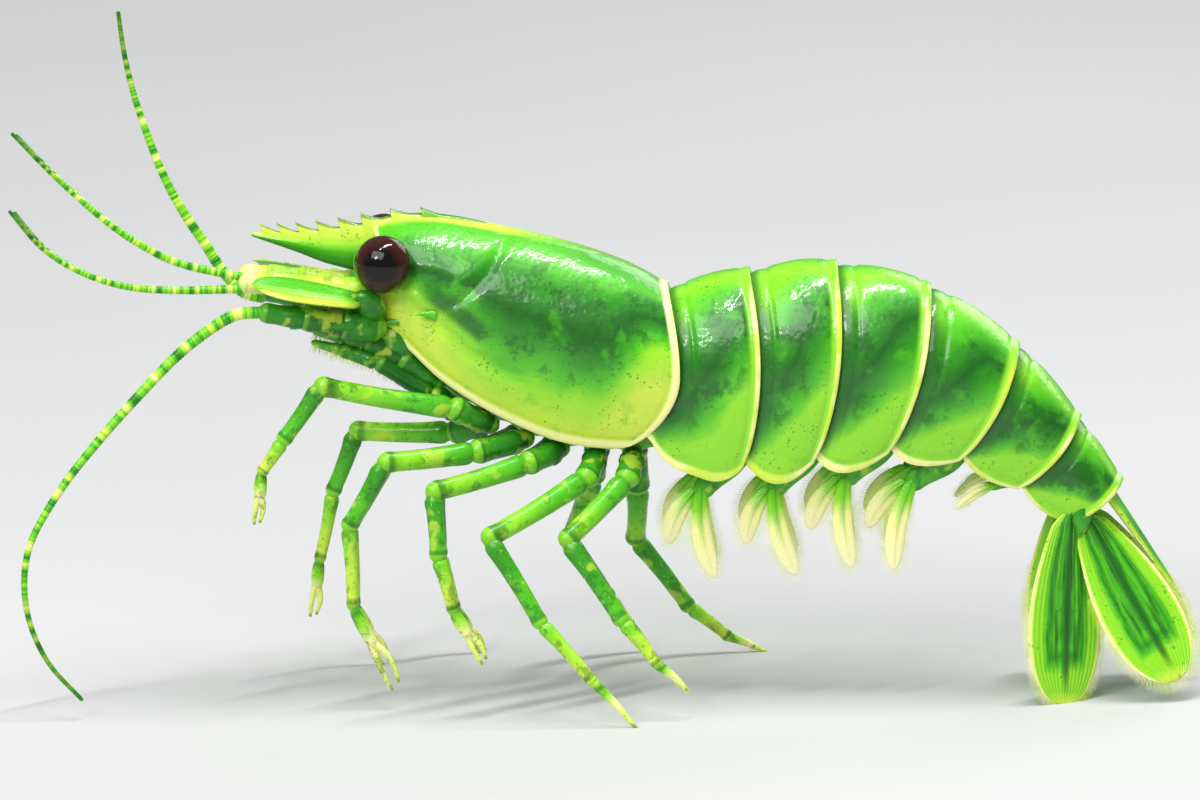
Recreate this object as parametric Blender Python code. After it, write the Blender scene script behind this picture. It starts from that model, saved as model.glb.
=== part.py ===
"""A life-size green shrimp, still, standing on its walking legs and on the tips of its tail fan.

Frame: metres, +Z up. The head looks along -X and the animal's left side is at -Y. The origin is on
the floor, under the middle of the whole animal, feelers included. Sizes in the tables are millimetres
and become metres where a mesh is made.
"""

import math

import bmesh
import bpy
from mathutils import Vector

MM = 0.001
CLEARANCE = 0.4  # gap that a trimmed piece keeps to its neighbour
PLATE_GAP = 0.35  # gap between one shell plate and the next, along the body
X_AXIS = Vector((1, 0, 0))
Y_AXIS = Vector((0, 1, 0))
Z_AXIS = Vector((0, 0, 1))

# Colours of the animal, linear RGB.
LEAF_GREEN = (0.03, 0.30, 0.01)
DEEP_GREEN = (0.01, 0.14, 0.01)
LIME = (0.28, 0.62, 0.02)
PALE_YELLOW = (0.80, 0.78, 0.28)
EYE_BROWN = (0.03, 0.012, 0.008)

# Shell sections: shares of the half width and half height from the midline of the back to the lower edge.
ARCH_STEPS = 16
SHOULDER = 0.55  # share of the arch, from the back down, at which a section is widest

# Carapace, along x: height of the back, height of the lower edge, half width.
CARAPACE = (
    (-34.0, 71.3, 56.9, 4.6),
    (-30.0, 72.4, 54.4, 7.0),
    (-24.0, 72.5, 48.9, 8.9),
    (-15.0, 71.0, 43.4, 10.4),
    (-6.0, 69.0, 39.8, 11.2),
    (3.0, 66.0, 38.7, 11.5),
    (12.0, 61.2, 39.3, 11.1),
)
CARAPACE_RINGS = 11
CARAPACE_TUCK = 0.30  # how far the lower edge turns in, as a share of the half width
CARAPACE_HOLLOW = 0.5  # depth of the groove under it that takes the breast, as a share of the half height
CARAPACE_FRONT = -34.0
ORBIT_DEPTH = 4.5
ORBIT_SHARE = 0.25  # height of the orbit's deepest point, as a share of the half height over the middle
ORBIT_SPREAD = 0.35
REAR_X = 11.8  # rearmost point of the carapace's edge
REAR_CURVE_UP = 1.8
REAR_CURVE_DOWN = 1.8
REAR_CORNER = 6.0

# Rostrum: a blade on the midline, with forward-leaning teeth on its upper edge.
ROSTRUM_TIP = -52.2
ROSTRUM_ROOT = -10.0
ROSTRUM_CREST = ((-52.2, 70.1), (-44.0, 70.4), (-36.0, 71.6), (-30.0, 73.0), (-22.0, 72.7), (-10.0, 69.8))
ROSTRUM_KEEL = ((-52.2, 69.5), (-46.0, 67.9), (-40.0, 66.2), (-34.0, 65.2), (-30.0, 68.6), (-22.0, 70.3), (-10.0, 68.2))
ROSTRUM_HALF_WIDTH = ((-52.2, 0.4), (-40.0, 0.9), (-30.0, 1.3), (-10.0, 0.5))
ROSTRUM_STEPS = 22
TOOTH_TIPS = (-50.2, -47.6, -44.8, -41.8, -38.6, -35.2)
TOOTH_HEIGHT = 1.3
TOOTH_LENGTH = 2.4

# Abdomen: the rear edge of each plate, as x and z of its middle, half height, half width and backward lean.
PLATE_EDGES = (
    (11.8, 49.2, 12.3, 10.3, 0.0),
    (23.8, 49.5, 14.4, 10.7, 2.0),
    (35.6, 50.2, 14.7, 10.5, 7.0),
    (47.8, 49.0, 12.6, 9.6, 15.0),
    (59.2, 43.7, 9.4, 7.9, 29.0),
    (67.8, 36.0, 6.8, 6.1, 43.0),
    (74.4, 28.6, 5.0, 4.9, 55.0),
)
PLATE_RINGS = 5
PLATE_TUCK = 0.12
PLATE_HOLLOW = 0.20  # depth of the underside between the side flaps, as a share of the half height
PLATE_LIP = 0.045  # how far a rear edge stands over the next plate, as a share of its size
PLATE_SWELL = (0.06, 0.05, 0.04, 0.035, 0.03, 0.03)  # how far each plate bulges between its edges
FLAP_DROP = 0.08  # how far the middle of a side flap hangs lower than its ends

# Breast: the narrow underside that carries the mouthparts and legs, set against the carapace's lower edge.
BREAST_X = (-31.0, 7.6)
BREAST_RINGS = 9
BREAST_HALF_WIDTH = 5.4
BREAST_BELOW = 1.6
BREAST_ABOVE = 0.62  # its height inside the carapace, as a share of the carapace's half height

# Head: the small block in front of the carapace that carries the eyes and feelers.
HEAD = ((-30.0, 2.6, 3.5), (-33.0, 4.6, 5.2), (-36.0, 4.4, 4.6), (-37.6, 3.0, 3.0))
HEAD_MIDDLE = 60.6

EYE_CENTRE = Vector((-32.6, -8.2, 66.9))
EYE_RADIUS = 4.3
EYESTALK = ((-35.0, -1.6, 64.6), (-34.2, -3.6, 65.4), (-33.0, -6.4, 66.5))
EYESTALK_RADII = (1.7, 2.1, 3.3)

ANTENNULE = ((-34.8, -2.6, 61.1), (-38.0, -2.7, 61.7), (-45.0, -2.9, 62.5), (-49.6, -3.0, 62.9), (-53.2, -3.1, 63.1))
ANTENNULE_RADII = (2.1, 2.2, 1.8, 1.7, 1.55)
ANTENNA_BASE = ((-33.6, -5.6, 56.8), (-38.0, -6.4, 57.5), (-44.0, -7.4, 58.5), (-50.2, -8.0, 59.5))
ANTENNA_BASE_RADII = (2.5, 2.4, 1.9, 1.5)
SCALE_ROOT = Vector((-35.5, -7.6, 61.2))
SCALE_TIP = Vector((-52.0, -8.3, 64.1))
SCALE_WIDTH = 6.6
SCALE_ROLL = 20.0
MAXILLIPED = ((-21.0, -4.0, 42.7), (-25.0, -4.8, 46.2), (-33.0, -5.0, 51.2), (-38.6, -4.6, 53.0), (-43.4, -4.0, 54.2))
MAXILLIPED_RADII = (1.8, 1.5, 1.3, 1.0, 0.5)

# Feelers: radius at the root and at the tip, number of rings, and the route from the peduncle outwards.
FEELERS = {
    "antenna_left": (
        (0.95, 0.32, 22),
        ((-50.7, -8.1, 59.6), (-54.6, -8.3, 59.2), (-58.6, -8.8, 57.0), (-63.6, -10.0, 53.1), (-69.4, -12.0, 47.3),
         (-75.2, -14.0, 41.0), (-80.6, -16.0, 34.3), (-84.8, -18.0, 27.3), (-86.1, -19.0, 21.3), (-85.3, -20.0, 14.7),
         (-82.4, -20.5, 8.5), (-77.4, -21.0, 3.0)),
    ),
    "antenna_right": (
        (0.95, 0.32, 18),
        ((-50.7, 8.1, 58.5), (-53.8, 8.4, 59.3), (-56.9, 8.8, 62.5), (-59.6, 9.0, 66.7), (-62.6, 9.5, 71.1),
         (-65.4, 10.0, 76.2), (-67.9, 11.0, 82.2), (-70.1, 12.0, 88.7), (-71.6, 13.0, 95.0), (-72.5, 14.0, 101.2)),
    ),
    "antennule_upper_left": (
        (0.68, 0.28, 13),
        ((-53.7, -3.0, 63.9), (-62.4, -4.0, 66.0), (-67.6, -5.0, 68.5), (-73.6, -6.5, 72.8), (-81.1, -8.5, 79.9),
         (-87.9, -11.0, 87.5)),
    ),
    "antennule_lower_left": (
        (0.68, 0.28, 13),
        ((-53.7, -3.4, 62.2), (-63.1, -4.5, 62.2), (-70.6, -6.0, 63.0), (-77.4, -8.0, 65.5), (-83.4, -10.0, 69.7),
         (-88.3, -12.0, 75.9)),
    ),
}
RIGHT_FEELER_DROOP = 0.42  # how far the right antennule hangs lower, as a share of its distance from the midline

# Legs: root, end of the thigh, knee, wrist, ankle and tip. On a pincer leg the last stretch splits in two fingers.
LEG_RADII = (2.0, 1.75, 1.45, 1.15, 0.85, 0.3)
LEG_SIDES = 6
LEG_SWELLS = ((), (0.15, 0.85), (0.2, 0.8), (0.3,), (0.3,))  # fuller places along each segment, as shares
JOINT_PINCH = 0.84
LEGS = {
    "leg_1_left": ("pincer", ((-16.5, -4.6, 41.6), (-21.9, -7.4, 44.8), (-41.9, -10.0, 48.7), (-47.5, -10.6, 40.6),
                              (-50.7, -11.0, 35.8), (-51.9, -11.2, 27.8))),
    "leg_1_right": ("pincer", ((-16.5, 4.6, 40.2), (-22.1, 7.4, 38.0), (-36.9, 10.0, 37.6), (-40.4, 10.6, 28.1),
                               (-42.4, 11.0, 17.6), (-43.9, 11.2, 8.7))),
    "leg_2_left": ("pincer", ((-11.2, -4.7, 39.6), (-18.6, -8.8, 38.4), (-32.4, -13.0, 37.6), (-37.8, -14.0, 28.1),
                              (-37.2, -14.0, 15.9), (-31.2, -14.0, 3.0))),
    "leg_2_right": ("pincer", ((-11.2, 4.7, 38.6), (-18.6, 8.8, 34.7), (-32.4, 12.6, 32.2), (-37.8, 14.2, 22.1),
                               (-37.2, 15.6, 9.6), (-32.8, 17.0, -0.4))),
    "leg_3_left": ("pincer", ((-5.9, -4.8, 38.2), (-10.9, -9.8, 36.9), (-25.1, -18.0, 34.2), (-24.4, -19.6, 24.7),
                              (-22.1, -20.2, 16.6), (-17.7, -21.0, 8.6))),
    "leg_3_right": ("pincer", ((-5.9, 4.8, 37.4), (-10.9, 9.8, 32.7), (-25.1, 17.4, 26.7), (-24.4, 20.4, 16.2),
                               (-22.1, 22.8, 7.5), (-18.2, 25.0, -0.4))),
    "leg_4_left": ("claw", ((-0.5, -4.9, 37.6), (-2.2, -10.8, 34.8), (-16.8, -20.0, 27.6), (-9.0, -23.4, 15.4),
                            (-1.3, -25.2, 6.9), (5.5, -26.0, -0.4))),
    "leg_4_right": ("claw", ((-0.5, 4.9, 37.2), (-1.2, 10.4, 30.5), (-4.8, 17.0, 19.0), (1.2, 22.0, 9.2),
                             (4.4, 24.2, 4.4), (8.0, 26.0, -0.4))),
    "leg_5_left": ("claw", ((4.9, -4.9, 37.6), (3.9, -10.0, 34.6), (-5.2, -16.5, 26.5), (3.1, -19.6, 14.9),
                            (8.5, -20.6, 8.4), (13.0, -21.0, 4.5))),
    "leg_5_right": ("claw", ((4.9, 4.9, 37.2), (5.5, 10.2, 29.0), (5.2, 17.4, 19.3), (13.3, 22.4, 7.7),
                             (19.3, 24.6, 2.6), (25.3, 26.0, -0.4))),
}
FINGER_RADII = (0.5, 0.5, 0.3)
FINGER_START = 0.45  # where the fingers part, as a share of the last stretch
FINGER_OPENING = 0.13  # how far the moving finger stands off, as a share of the last stretch

# Swimmerets, a pair under each of the first five plates: size beside the largest, forward lean of stem and paddles.
SWIMMERETS = ((1.0, 0.8, -0.18), (1.0, 0.75, -0.28), (1.0, 0.9, -0.1), (1.0, 1.2, 0.08), (0.65, 2.2, 1.6))
SWIMMERET_STEM = 10.0
SWIMMERET_OUTER = 13.0
SWIMMERET_INNER = 9.0
SWIMMERET_WIDTH = 3.0

# Tail fan.
TELSON_LENGTH = 20.0
TELSON_WIDTH = 6.4
INNER_BLADE = (Vector((72.6, -3.0, 27.5)), Vector((86.6, -8.6, 3.4)))
OUTER_BLADE = (Vector((70.2, -4.4, 28.4)), Vector((69.4, -9.6, -0.5)))
BLADE_WIDTH = 12.4
BLADE_THICKNESS = 1.3
BLADE_FLARE = 0.55  # sideways part of the blades' width, beside its fore-and-aft part
FAN_STEM = ((72.2, -2.6, 30.6), (71.9, -3.6, 27.4), (71.6, -4.6, 24.2))
FAN_STEM_RADII = (1.9, 2.1, 1.6)


WHOLE_SHAPES = {}  # each object's mesh as it was before any trimming


def smooth(rows, x):
    """The columns after the first, read at x on a smooth curve through the rows."""
    last = len(rows) - 1
    upper = next((i for i in range(1, last) if rows[i][0] >= x), last)
    low, high = rows[upper - 1], rows[upper]
    span = high[0] - low[0]
    t = min(1.0, max(0.0, (x - low[0]) / span))

    def slope(row, column):
        before, after = rows[max(row - 1, 0)], rows[min(row + 1, last)]
        return (after[column] - before[column]) / (after[0] - before[0]) * span

    return [
        low[c] * (2 * t**3 - 3 * t**2 + 1)
        + slope(upper - 1, c) * (t**3 - 2 * t**2 + t)
        + high[c] * (3 * t**2 - 2 * t**3)
        + slope(upper, c) * (t**3 - t**2)
        for c in range(1, len(low))
    ]


def through(points, stations):
    """Evenly numbered points on a smooth curve through the given ones."""
    rows = [(i, *p) for i, p in enumerate(points)]
    last = len(points) - 1
    return [Vector(smooth(rows, last * i / (stations - 1))) for i in range(stations)]


def material(name, colour, roughness=0.35):
    made = bpy.data.materials.get(name)
    if made is None:
        made = bpy.data.materials.new(name)
        made.use_nodes = True
        shader = made.node_tree.nodes["Principled BSDF"]
        shader.inputs["Base Color"].default_value = (*colour, 1.0)
        shader.inputs["Roughness"].default_value = roughness
        shader.inputs["Metallic"].default_value = 0.0
        made.diffuse_color = (*colour, 1.0)
    return made


def add_object(name, bm, finish):
    """Links a closed bmesh, given in millimetres, as one smooth-shaded object in metres."""
    bmesh.ops.scale(bm, vec=(MM, MM, MM), verts=bm.verts)
    bmesh.ops.recalc_face_normals(bm, faces=bm.faces)
    mesh = bpy.data.meshes.new(name)
    bm.to_mesh(mesh)
    bm.free()
    mesh.shade_smooth()
    mesh.set_sharp_from_angle(angle=math.radians(40))
    mesh.materials.append(finish)
    made = bpy.data.objects.new(name, mesh)
    bpy.context.scene.collection.objects.link(made)
    WHOLE_SHAPES[name] = mesh.copy()
    return made


def skin(rings):
    """A bmesh tube over rings of equal count, open at both ends, and its two end loops."""
    bm = bmesh.new()
    loops = [[bm.verts.new(p) for p in ring] for ring in rings]
    count = len(loops[0])
    for lower, upper in zip(loops, loops[1:]):
        for i in range(count):
            j = (i + 1) % count
            bm.faces.new((lower[i], lower[j], upper[j], upper[i]))
    return bm, loops[0], loops[-1]


def loft(rings):
    """A closed bmesh over rings of equal count, each end drawn to its middle."""
    bm, first, last = skin(rings)
    for loop in (first, last):
        centre = bm.verts.new(sum((v.co for v in loop), Vector()) / len(loop))
        for i in range(len(loop)):
            bm.faces.new((loop[i], loop[(i + 1) % len(loop)], centre))
    return bm


def vault(rings, roof):
    """A closed bmesh over shell sections. Its ends are drawn straight across, down to the hollow's roof."""
    bm, first, last = skin(rings)
    for loop in (first, last):
        arch_loop, (right, middle, left) = loop[:ARCH_STEPS + 1], loop[ARCH_STEPS + 1:]
        heights = [up for _, up in arch(0)]
        low = next(i for i, up in enumerate(heights) if up > roof)
        half = ARCH_STEPS // 2
        for i in range(low, half):
            twin = ARCH_STEPS - i
            across = (arch_loop[i], arch_loop[i + 1], arch_loop[twin - 1], arch_loop[twin])
            bm.faces.new(tuple(dict.fromkeys(across)))
        bm.faces.new((arch_loop[low], left, middle))
        bm.faces.new((arch_loop[low], middle, arch_loop[ARCH_STEPS - low]))
        bm.faces.new((arch_loop[ARCH_STEPS - low], middle, right))
        for i in range(low):
            bm.faces.new((left, arch_loop[i], arch_loop[i + 1]))
            bm.faces.new((right, arch_loop[ARCH_STEPS - i], arch_loop[ARCH_STEPS - i - 1]))
    return bm


def tube_rings(points, radii, sides, flatness=1.0, across=Y_AXIS):
    """Rings round a path. flatness squeezes them across the path's own bending plane."""
    rings = []
    side = across
    for i, point in enumerate(points):
        ahead = (points[min(i + 1, len(points) - 1)] - points[max(i - 1, 0)]).normalized()
        side = (side - ahead * side.dot(ahead)).normalized()
        up = ahead.cross(side)
        turns = [2 * math.pi * k / sides for k in range(sides)]
        rings.append([point + (side * math.cos(a) * flatness + up * math.sin(a)) * radii[i] for a in turns])
    return rings


def tube(name, points, radii, finish, sides=8, flatness=1.0, across=Y_AXIS):
    points = [Vector(p) for p in points]
    return add_object(name, loft(tube_rings(points, radii, sides, flatness, across)), finish)


def cut_at_floor(bm):
    """Ends whatever reaches under the floor in a small flat on it."""
    found = bmesh.ops.bisect_plane(
        bm, geom=bm.verts[:] + bm.edges[:] + bm.faces[:], plane_co=(0, 0, 0), plane_no=(0, 0, -1), clear_outer=True
    )
    edges = [e for e in found["geom_cut"] if isinstance(e, bmesh.types.BMEdge)]
    if edges:
        bmesh.ops.contextual_create(bm, geom=edges)


def settle(made):
    """Applies an object's modifiers."""
    graph = bpy.context.evaluated_depsgraph_get()
    mesh = bpy.data.meshes.new_from_object(made.evaluated_get(graph))
    made.modifiers.clear()
    made.data = mesh
    mesh.name = made.name


def combine(made, other, operation):
    modifier = made.modifiers.new(operation.lower(), "BOOLEAN")
    modifier.operation = operation
    modifier.solver = "EXACT"
    modifier.object = other
    other.hide_render = True
    other.display_type = "WIRE"
    settle(made)


def trim(made, *neighbours):
    """Cuts made back so that it clears each neighbour's whole shape."""
    for neighbour in neighbours:
        cutter = bpy.data.objects.new("clearance", WHOLE_SHAPES[neighbour.name].copy())
        bpy.context.scene.collection.objects.link(cutter)
        swell = cutter.modifiers.new("clearance", "DISPLACE")
        swell.mid_level = 0.0
        swell.strength = CLEARANCE * MM
        settle(cutter)
        combine(made, cutter, "DIFFERENCE")
        bpy.data.objects.remove(cutter)
    return made


def join(made, other):
    combine(made, other, "UNION")
    bpy.data.objects.remove(other)
    WHOLE_SHAPES[made.name] = made.data.copy()
    return made


def mirrored(made, name):
    """The same piece on the animal's other side."""
    twin = bpy.data.objects.new(name, made.data.copy())
    bpy.context.scene.collection.objects.link(twin)
    WHOLE_SHAPES[name] = WHOLE_SHAPES[made.name].copy()
    for mesh in (twin.data, WHOLE_SHAPES[name]):
        bm = bmesh.new()
        bm.from_mesh(mesh)
        bmesh.ops.scale(bm, vec=(1, -1, 1), verts=bm.verts)
        bmesh.ops.reverse_faces(bm, faces=bm.faces)
        bm.to_mesh(mesh)
        bm.free()
    return twin


def arch(tuck):
    """Half of a shell section as (sideways, upward) shares, and its twin: lower left edge, back, lower right edge."""
    shares = []
    for i in range(-ARCH_STEPS // 2, ARCH_STEPS // 2 + 1):
        u = abs(i) / (ARCH_STEPS // 2)
        if u < SHOULDER:
            turn = u / SHOULDER * math.pi / 2
            side, up = math.sin(turn), math.cos(turn)
        else:
            down = (u - SHOULDER) / (1 - SHOULDER)
            side, up = 1 - tuck * down**2, -down
        shares.append((math.copysign(side, i), up))
    return shares


def edge_curve(up):
    """How far a plate's rear edge lies forward of its rearmost point, at an upward share of its half height."""
    return (REAR_CURVE_UP if up > 0 else REAR_CURVE_DOWN) * up**2


def carapace_ring(t):
    """The section of the carapace at share t of the way from its front edge to its rear edge."""
    ring = []
    for side, up in arch(CARAPACE_TUCK):
        orbit = ORBIT_DEPTH * math.exp(-(((up - ORBIT_SHARE) / ORBIT_SPREAD) ** 2))
        front = CARAPACE_FRONT + orbit
        rear = REAR_X - (REAR_CURVE_UP if up > 0 else REAR_CORNER) * up**2
        x = front + (rear - front) * t
        top, bottom, half_width = smooth(CARAPACE, x)
        middle, half_height = (top + bottom) / 2, (top - bottom) / 2
        ring.append(Vector((x, side * half_width, middle + up * half_height)))
    right, lift = ring[-1], half_height * CARAPACE_HOLLOW
    return ring + [Vector((right.x, right.y * share, right.z + lift)) for share in (0.85, 0.0, -0.85)]


def make_carapace(eyes):
    shares = [i / (CARAPACE_RINGS - 1) for i in range(CARAPACE_RINGS)]
    rings = [carapace_ring(t) for t in shares]
    finish = material("shell_green", LEAF_GREEN)
    carapace = add_object("carapace", vault(rings, CARAPACE_HOLLOW - 1), finish)
    join(carapace, make_rostrum(finish))
    return trim(carapace, *eyes)


def make_rostrum(finish):
    """The toothed blade, as a strip of rings that run along the midline."""
    start, end = ROSTRUM_TIP, ROSTRUM_ROOT
    places = {start + (end - start) * i / ROSTRUM_STEPS for i in range(ROSTRUM_STEPS + 1)}
    for tip in TOOTH_TIPS:
        places -= {x for x in places if tip - 0.6 < x < tip + TOOTH_LENGTH}
        places |= {tip - 0.5, tip, tip + TOOTH_LENGTH}
    rings = []
    for x in sorted(places):
        (crest,), (keel,), (half_width,) = (
            smooth(rows, x) for rows in (ROSTRUM_CREST, ROSTRUM_KEEL, ROSTRUM_HALF_WIDTH)
        )
        tooth = TOOTH_HEIGHT if x in TOOTH_TIPS else 0.0
        middle = (crest + keel) / 2
        rings.append(
            [
                Vector((x, 0, crest + tooth)),
                Vector((x, half_width, crest - 0.4)),
                Vector((x, half_width, middle)),
                Vector((x, 0, keel)),
                Vector((x, -half_width, middle)),
                Vector((x, -half_width, crest - 0.4)),
            ]
        )
    return add_object("rostrum", loft(rings), finish)


def plate_ring(number, t, scale):
    """The section of an abdominal plate at share t of the way from the edge before it to its own rear edge."""
    rows = [(i, *edge) for i, edge in enumerate(PLATE_EDGES)]
    x, z, half_height, half_width, lean = smooth(rows, number + t)
    back = Vector((math.cos(math.radians(lean)), 0, -math.sin(math.radians(lean))))
    up_axis = Vector((-back.z, 0, back.x))
    curve = half_height / PLATE_EDGES[0][2]
    drop = 1 + FLAP_DROP * (math.sin(math.pi * t) - 0.5)
    centre = Vector((x, 0, z))
    ring = []
    lower = PLATE_HOLLOW - 1
    section = [(side * scale, up * scale * (drop if up < 0 else 1)) for side, up in arch(PLATE_TUCK)]
    section += [(share * (1 - PLATE_TUCK), lower) for share in (0.8, 0.0, -0.8)]
    for side, up in section:
        point = centre + Y_AXIS * side * half_width + up_axis * up * half_height
        ring.append(point - back * edge_curve(up) * curve)
    return ring, back


def make_plate(number):
    """Abdominal plate 0 to 5, with its rear edge flared over the front of the next one."""
    rings = []
    for i in range(PLATE_RINGS):
        t = i / (PLATE_RINGS - 1)
        scale = 1 + PLATE_SWELL[number] * math.sin(math.pi * t) + PLATE_LIP * t**2
        ring, back = plate_ring(number, t, scale)
        rings.append([p + back * PLATE_GAP * (1 - t) for p in ring])
    bm = vault(rings, PLATE_HOLLOW - 1)
    return add_object(f"abdomen_{number + 1}", bm, material("shell_green", LEAF_GREEN))


def make_breast(carapace):
    rings = []
    for i in range(BREAST_RINGS):
        t = i / (BREAST_RINGS - 1)
        x = BREAST_X[0] + (BREAST_X[1] - BREAST_X[0]) * t
        top, edge, _ = smooth(CARAPACE, x)
        above = (top - edge) / 2 * BREAST_ABOVE
        width = BREAST_HALF_WIDTH * (0.6 + 0.4 * math.sin(math.pi * (0.15 + 0.7 * t)))
        outline = ((0, -BREAST_BELOW), (0.6, -BREAST_BELOW * 0.8), (0.95, 0.8), (1, above / 2), (0.8, above))
        right = [Vector((x, y * width, edge + z)) for y, z in outline]
        left = [Vector((p.x, -p.y, p.z)) for p in reversed(right[1:])]
        rings.append(right + left)
    breast = add_object("breast", loft(rings), material("underside_green", DEEP_GREEN))
    return trim(breast, carapace)


def make_head(*neighbours):
    rings = []
    for x, half_width, half_height in HEAD:
        turns = [2 * math.pi * k / 12 for k in range(12)]
        rings.append([Vector((x, math.cos(a) * half_width, HEAD_MIDDLE + math.sin(a) * half_height)) for a in turns])
    head = add_object("head", loft(rings), material("underside_green", DEEP_GREEN))
    return trim(head, *neighbours)


def make_eyes():
    bm = bmesh.new()
    bmesh.ops.create_uvsphere(bm, u_segments=14, v_segments=8, radius=EYE_RADIUS)
    bmesh.ops.translate(bm, vec=EYE_CENTRE, verts=bm.verts)
    eye = add_object("eye_left", bm, material("eye_brown", EYE_BROWN, 0.1))
    return eye, mirrored(eye, "eye_right")


def both_sides(name, make, neighbours):
    """Makes a left piece, trims it to its neighbours and mirrors it."""
    left = trim(make(f"{name}_left"), *neighbours)
    return left, mirrored(left, f"{name}_right")


def blade(name, root, tip, across, width, thickness, finish, root_share=0.45, stations=9, hollow=0.0):
    """A flat rounded blade from root to tip, widest past its middle, cut where it meets the floor."""
    ahead = (tip - root).normalized()
    across = (across - ahead * across.dot(ahead)).normalized()
    normal = ahead.cross(across)
    section = ((1, 0), (0.55, 0.5), (-0.55, 0.5), (-1, 0), (-0.55, -0.5), (0.55, -0.5))
    rings = []
    for i in range(stations):
        t = i / (stations - 1)
        widen = root_share + (1 - root_share) * math.sin(min(1.0, t / 0.62) * math.pi / 2)
        close = math.sqrt(max(0.0, 1 - (max(0.0, t - 0.62) / 0.385) ** 2.2))
        half = width / 2 * widen * close
        thick = thickness * (1 - 0.4 * t)
        centre = root + (tip - root) * t + normal * hollow * math.sin(math.pi * t)
        rings.append([centre + across * a * half + normal * b * thick for a, b in section])
    bm = loft(rings)
    cut_at_floor(bm)
    return add_object(name, bm, finish)


def make_scale(name):
    roll = math.radians(SCALE_ROLL)
    across = Vector((0, -math.cos(roll), -math.sin(roll)))
    return blade(name, SCALE_ROOT, SCALE_TIP, across, SCALE_WIDTH, 1.0, material("lime", LIME), 0.6)


def make_feelers(trunks):
    """The two long antennae and the four shorter feelers of the antennules."""
    for name, (sizes, route) in FEELERS.items():
        make_feeler(name, route, sizes, trunks)
        if name.startswith("antennule"):
            right = [(x, -y, z + y * RIGHT_FEELER_DROOP) for x, y, z in route]
            make_feeler(name.replace("left", "right"), right, sizes, trunks)


def make_feeler(name, route, sizes, trunks):
    root, tip, stations = sizes
    points = through(route, stations)
    radii = [root + (tip - root) * i / (stations - 1) for i in range(stations)]
    trim(tube(name, points, radii, material("lime", LIME), sides=6), *trunks)


def make_leg(name, kind, joints, neighbours):
    """A jointed leg, thinner at each joint, ending in a claw or in a small two-fingered pincer."""
    joints = [Vector(j) for j in joints]
    points, radii = [joints[0]], [LEG_RADII[0]]
    for i in range(1, len(joints)):
        start, end = joints[i - 1], joints[i]
        for share in LEG_SWELLS[i - 1]:
            points.append(start.lerp(end, share))
            radii.append(LEG_RADII[i - 1] * (1 - share) + LEG_RADII[i] * share)
        points.append(end)
        radii.append(LEG_RADII[i] * (JOINT_PINCH if i < len(joints) - 1 else 1))
    finish = material("leg_green", LEAF_GREEN)
    bm = loft(tube_rings(points, radii, LEG_SIDES, flatness=0.85))
    cut_at_floor(bm)
    leg = add_object(name, bm, finish)
    if kind == "pincer":
        ankle, tip = joints[-2], joints[-1]
        ahead = tip - ankle
        outward = ahead.cross(Y_AXIS).normalized() * ahead.length * FINGER_OPENING
        finger = (ankle.lerp(tip, FINGER_START), ankle.lerp(tip, 0.65) + outward * 0.9, ankle.lerp(tip, 0.92) + outward)
        join(leg, tube("finger", finger, FINGER_RADII, finish, sides=5))
    return trim(leg, *neighbours)


def make_swimmeret(number, plate):
    """Stem with an outer and an inner paddle, under the middle of an abdominal plate."""
    size, lean, sweep = SWIMMERETS[number]
    roof = plate_ring(number, 0.9, 1.0)[0][-2]
    root = roof + Vector((0, -PLATE_EDGES[number][3] * 0.5, 1.0))
    down = Vector((-lean, -0.06, -1)).normalized()
    knee = root + down * SWIMMERET_STEM * size
    finish = material("pale_yellow", PALE_YELLOW)
    stem = tube(
        f"swimmeret_{number + 1}_left", (root, root.lerp(knee, 0.6), knee), (2.0 * size, 1.8 * size, 1.3 * size),
        material("leg_green", LEAF_GREEN), sides=6, flatness=0.7,
    )
    stem.data.materials.append(finish)
    outer = knee + Vector((-sweep, -0.10, -1)).normalized() * SWIMMERET_OUTER * size
    inner = knee + Vector((-0.5 - sweep, 0.05, -1)).normalized() * SWIMMERET_INNER * size
    for tip, offset in ((outer, Vector((0.5, -0.5, 0))), (inner, Vector((-0.7, 0.6, 0)))):
        start = knee + offset * size - (tip - knee).normalized() * 1.2
        paddle = blade("paddle", start, tip, X_AXIS, SWIMMERET_WIDTH * size, 1.2, finish, 0.6, 4)
        join(stem, paddle)
    trim(stem, plate)
    return stem, mirrored(stem, f"swimmeret_{number + 1}_right")


def make_telson(plate):
    x, z, _, _, lean = PLATE_EDGES[-1]
    back = Vector((math.cos(math.radians(lean)), 0, -math.sin(math.radians(lean))))
    up = Vector((-back.z, 0, back.x))
    root = Vector((x, 0, z)) + up * 2.2 - back * 1.0
    stations = 6
    rings = []
    for i in range(stations):
        t = i / (stations - 1)
        half = TELSON_WIDTH / 2 * (1 - 0.86 * t**1.3)
        thick = 2.0 * (1 - 0.65 * t)
        centre = root + back * TELSON_LENGTH * t
        section = ((1, 0), (0.75, 0.7), (0, 1), (-0.75, 0.7), (-1, 0), (-0.7, -0.5), (0.7, -0.5))
        rings.append([centre + Y_AXIS * a * half + up * b * thick * 0.6 for a, b in section])
    return trim(add_object("telson", loft(rings), material("shell_green", LEAF_GREEN)), plate)


def make_tail_fan(plate):
    telson = make_telson(plate)
    shell = material("shell_green", LEAF_GREEN)
    stem = trim(tube("fan_stem_left", FAN_STEM, FAN_STEM_RADII, shell, sides=8), plate, telson)
    mirrored(stem, "fan_stem_right")
    inner = make_fan_blade("fan_inner_left", INNER_BLADE, 0.75, shell, (plate, telson, stem))
    outer = make_fan_blade("fan_outer_left", OUTER_BLADE, 1.0, shell, (plate, telson, stem, inner))
    mirrored(inner, "fan_inner_right")
    mirrored(outer, "fan_outer_right")


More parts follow.
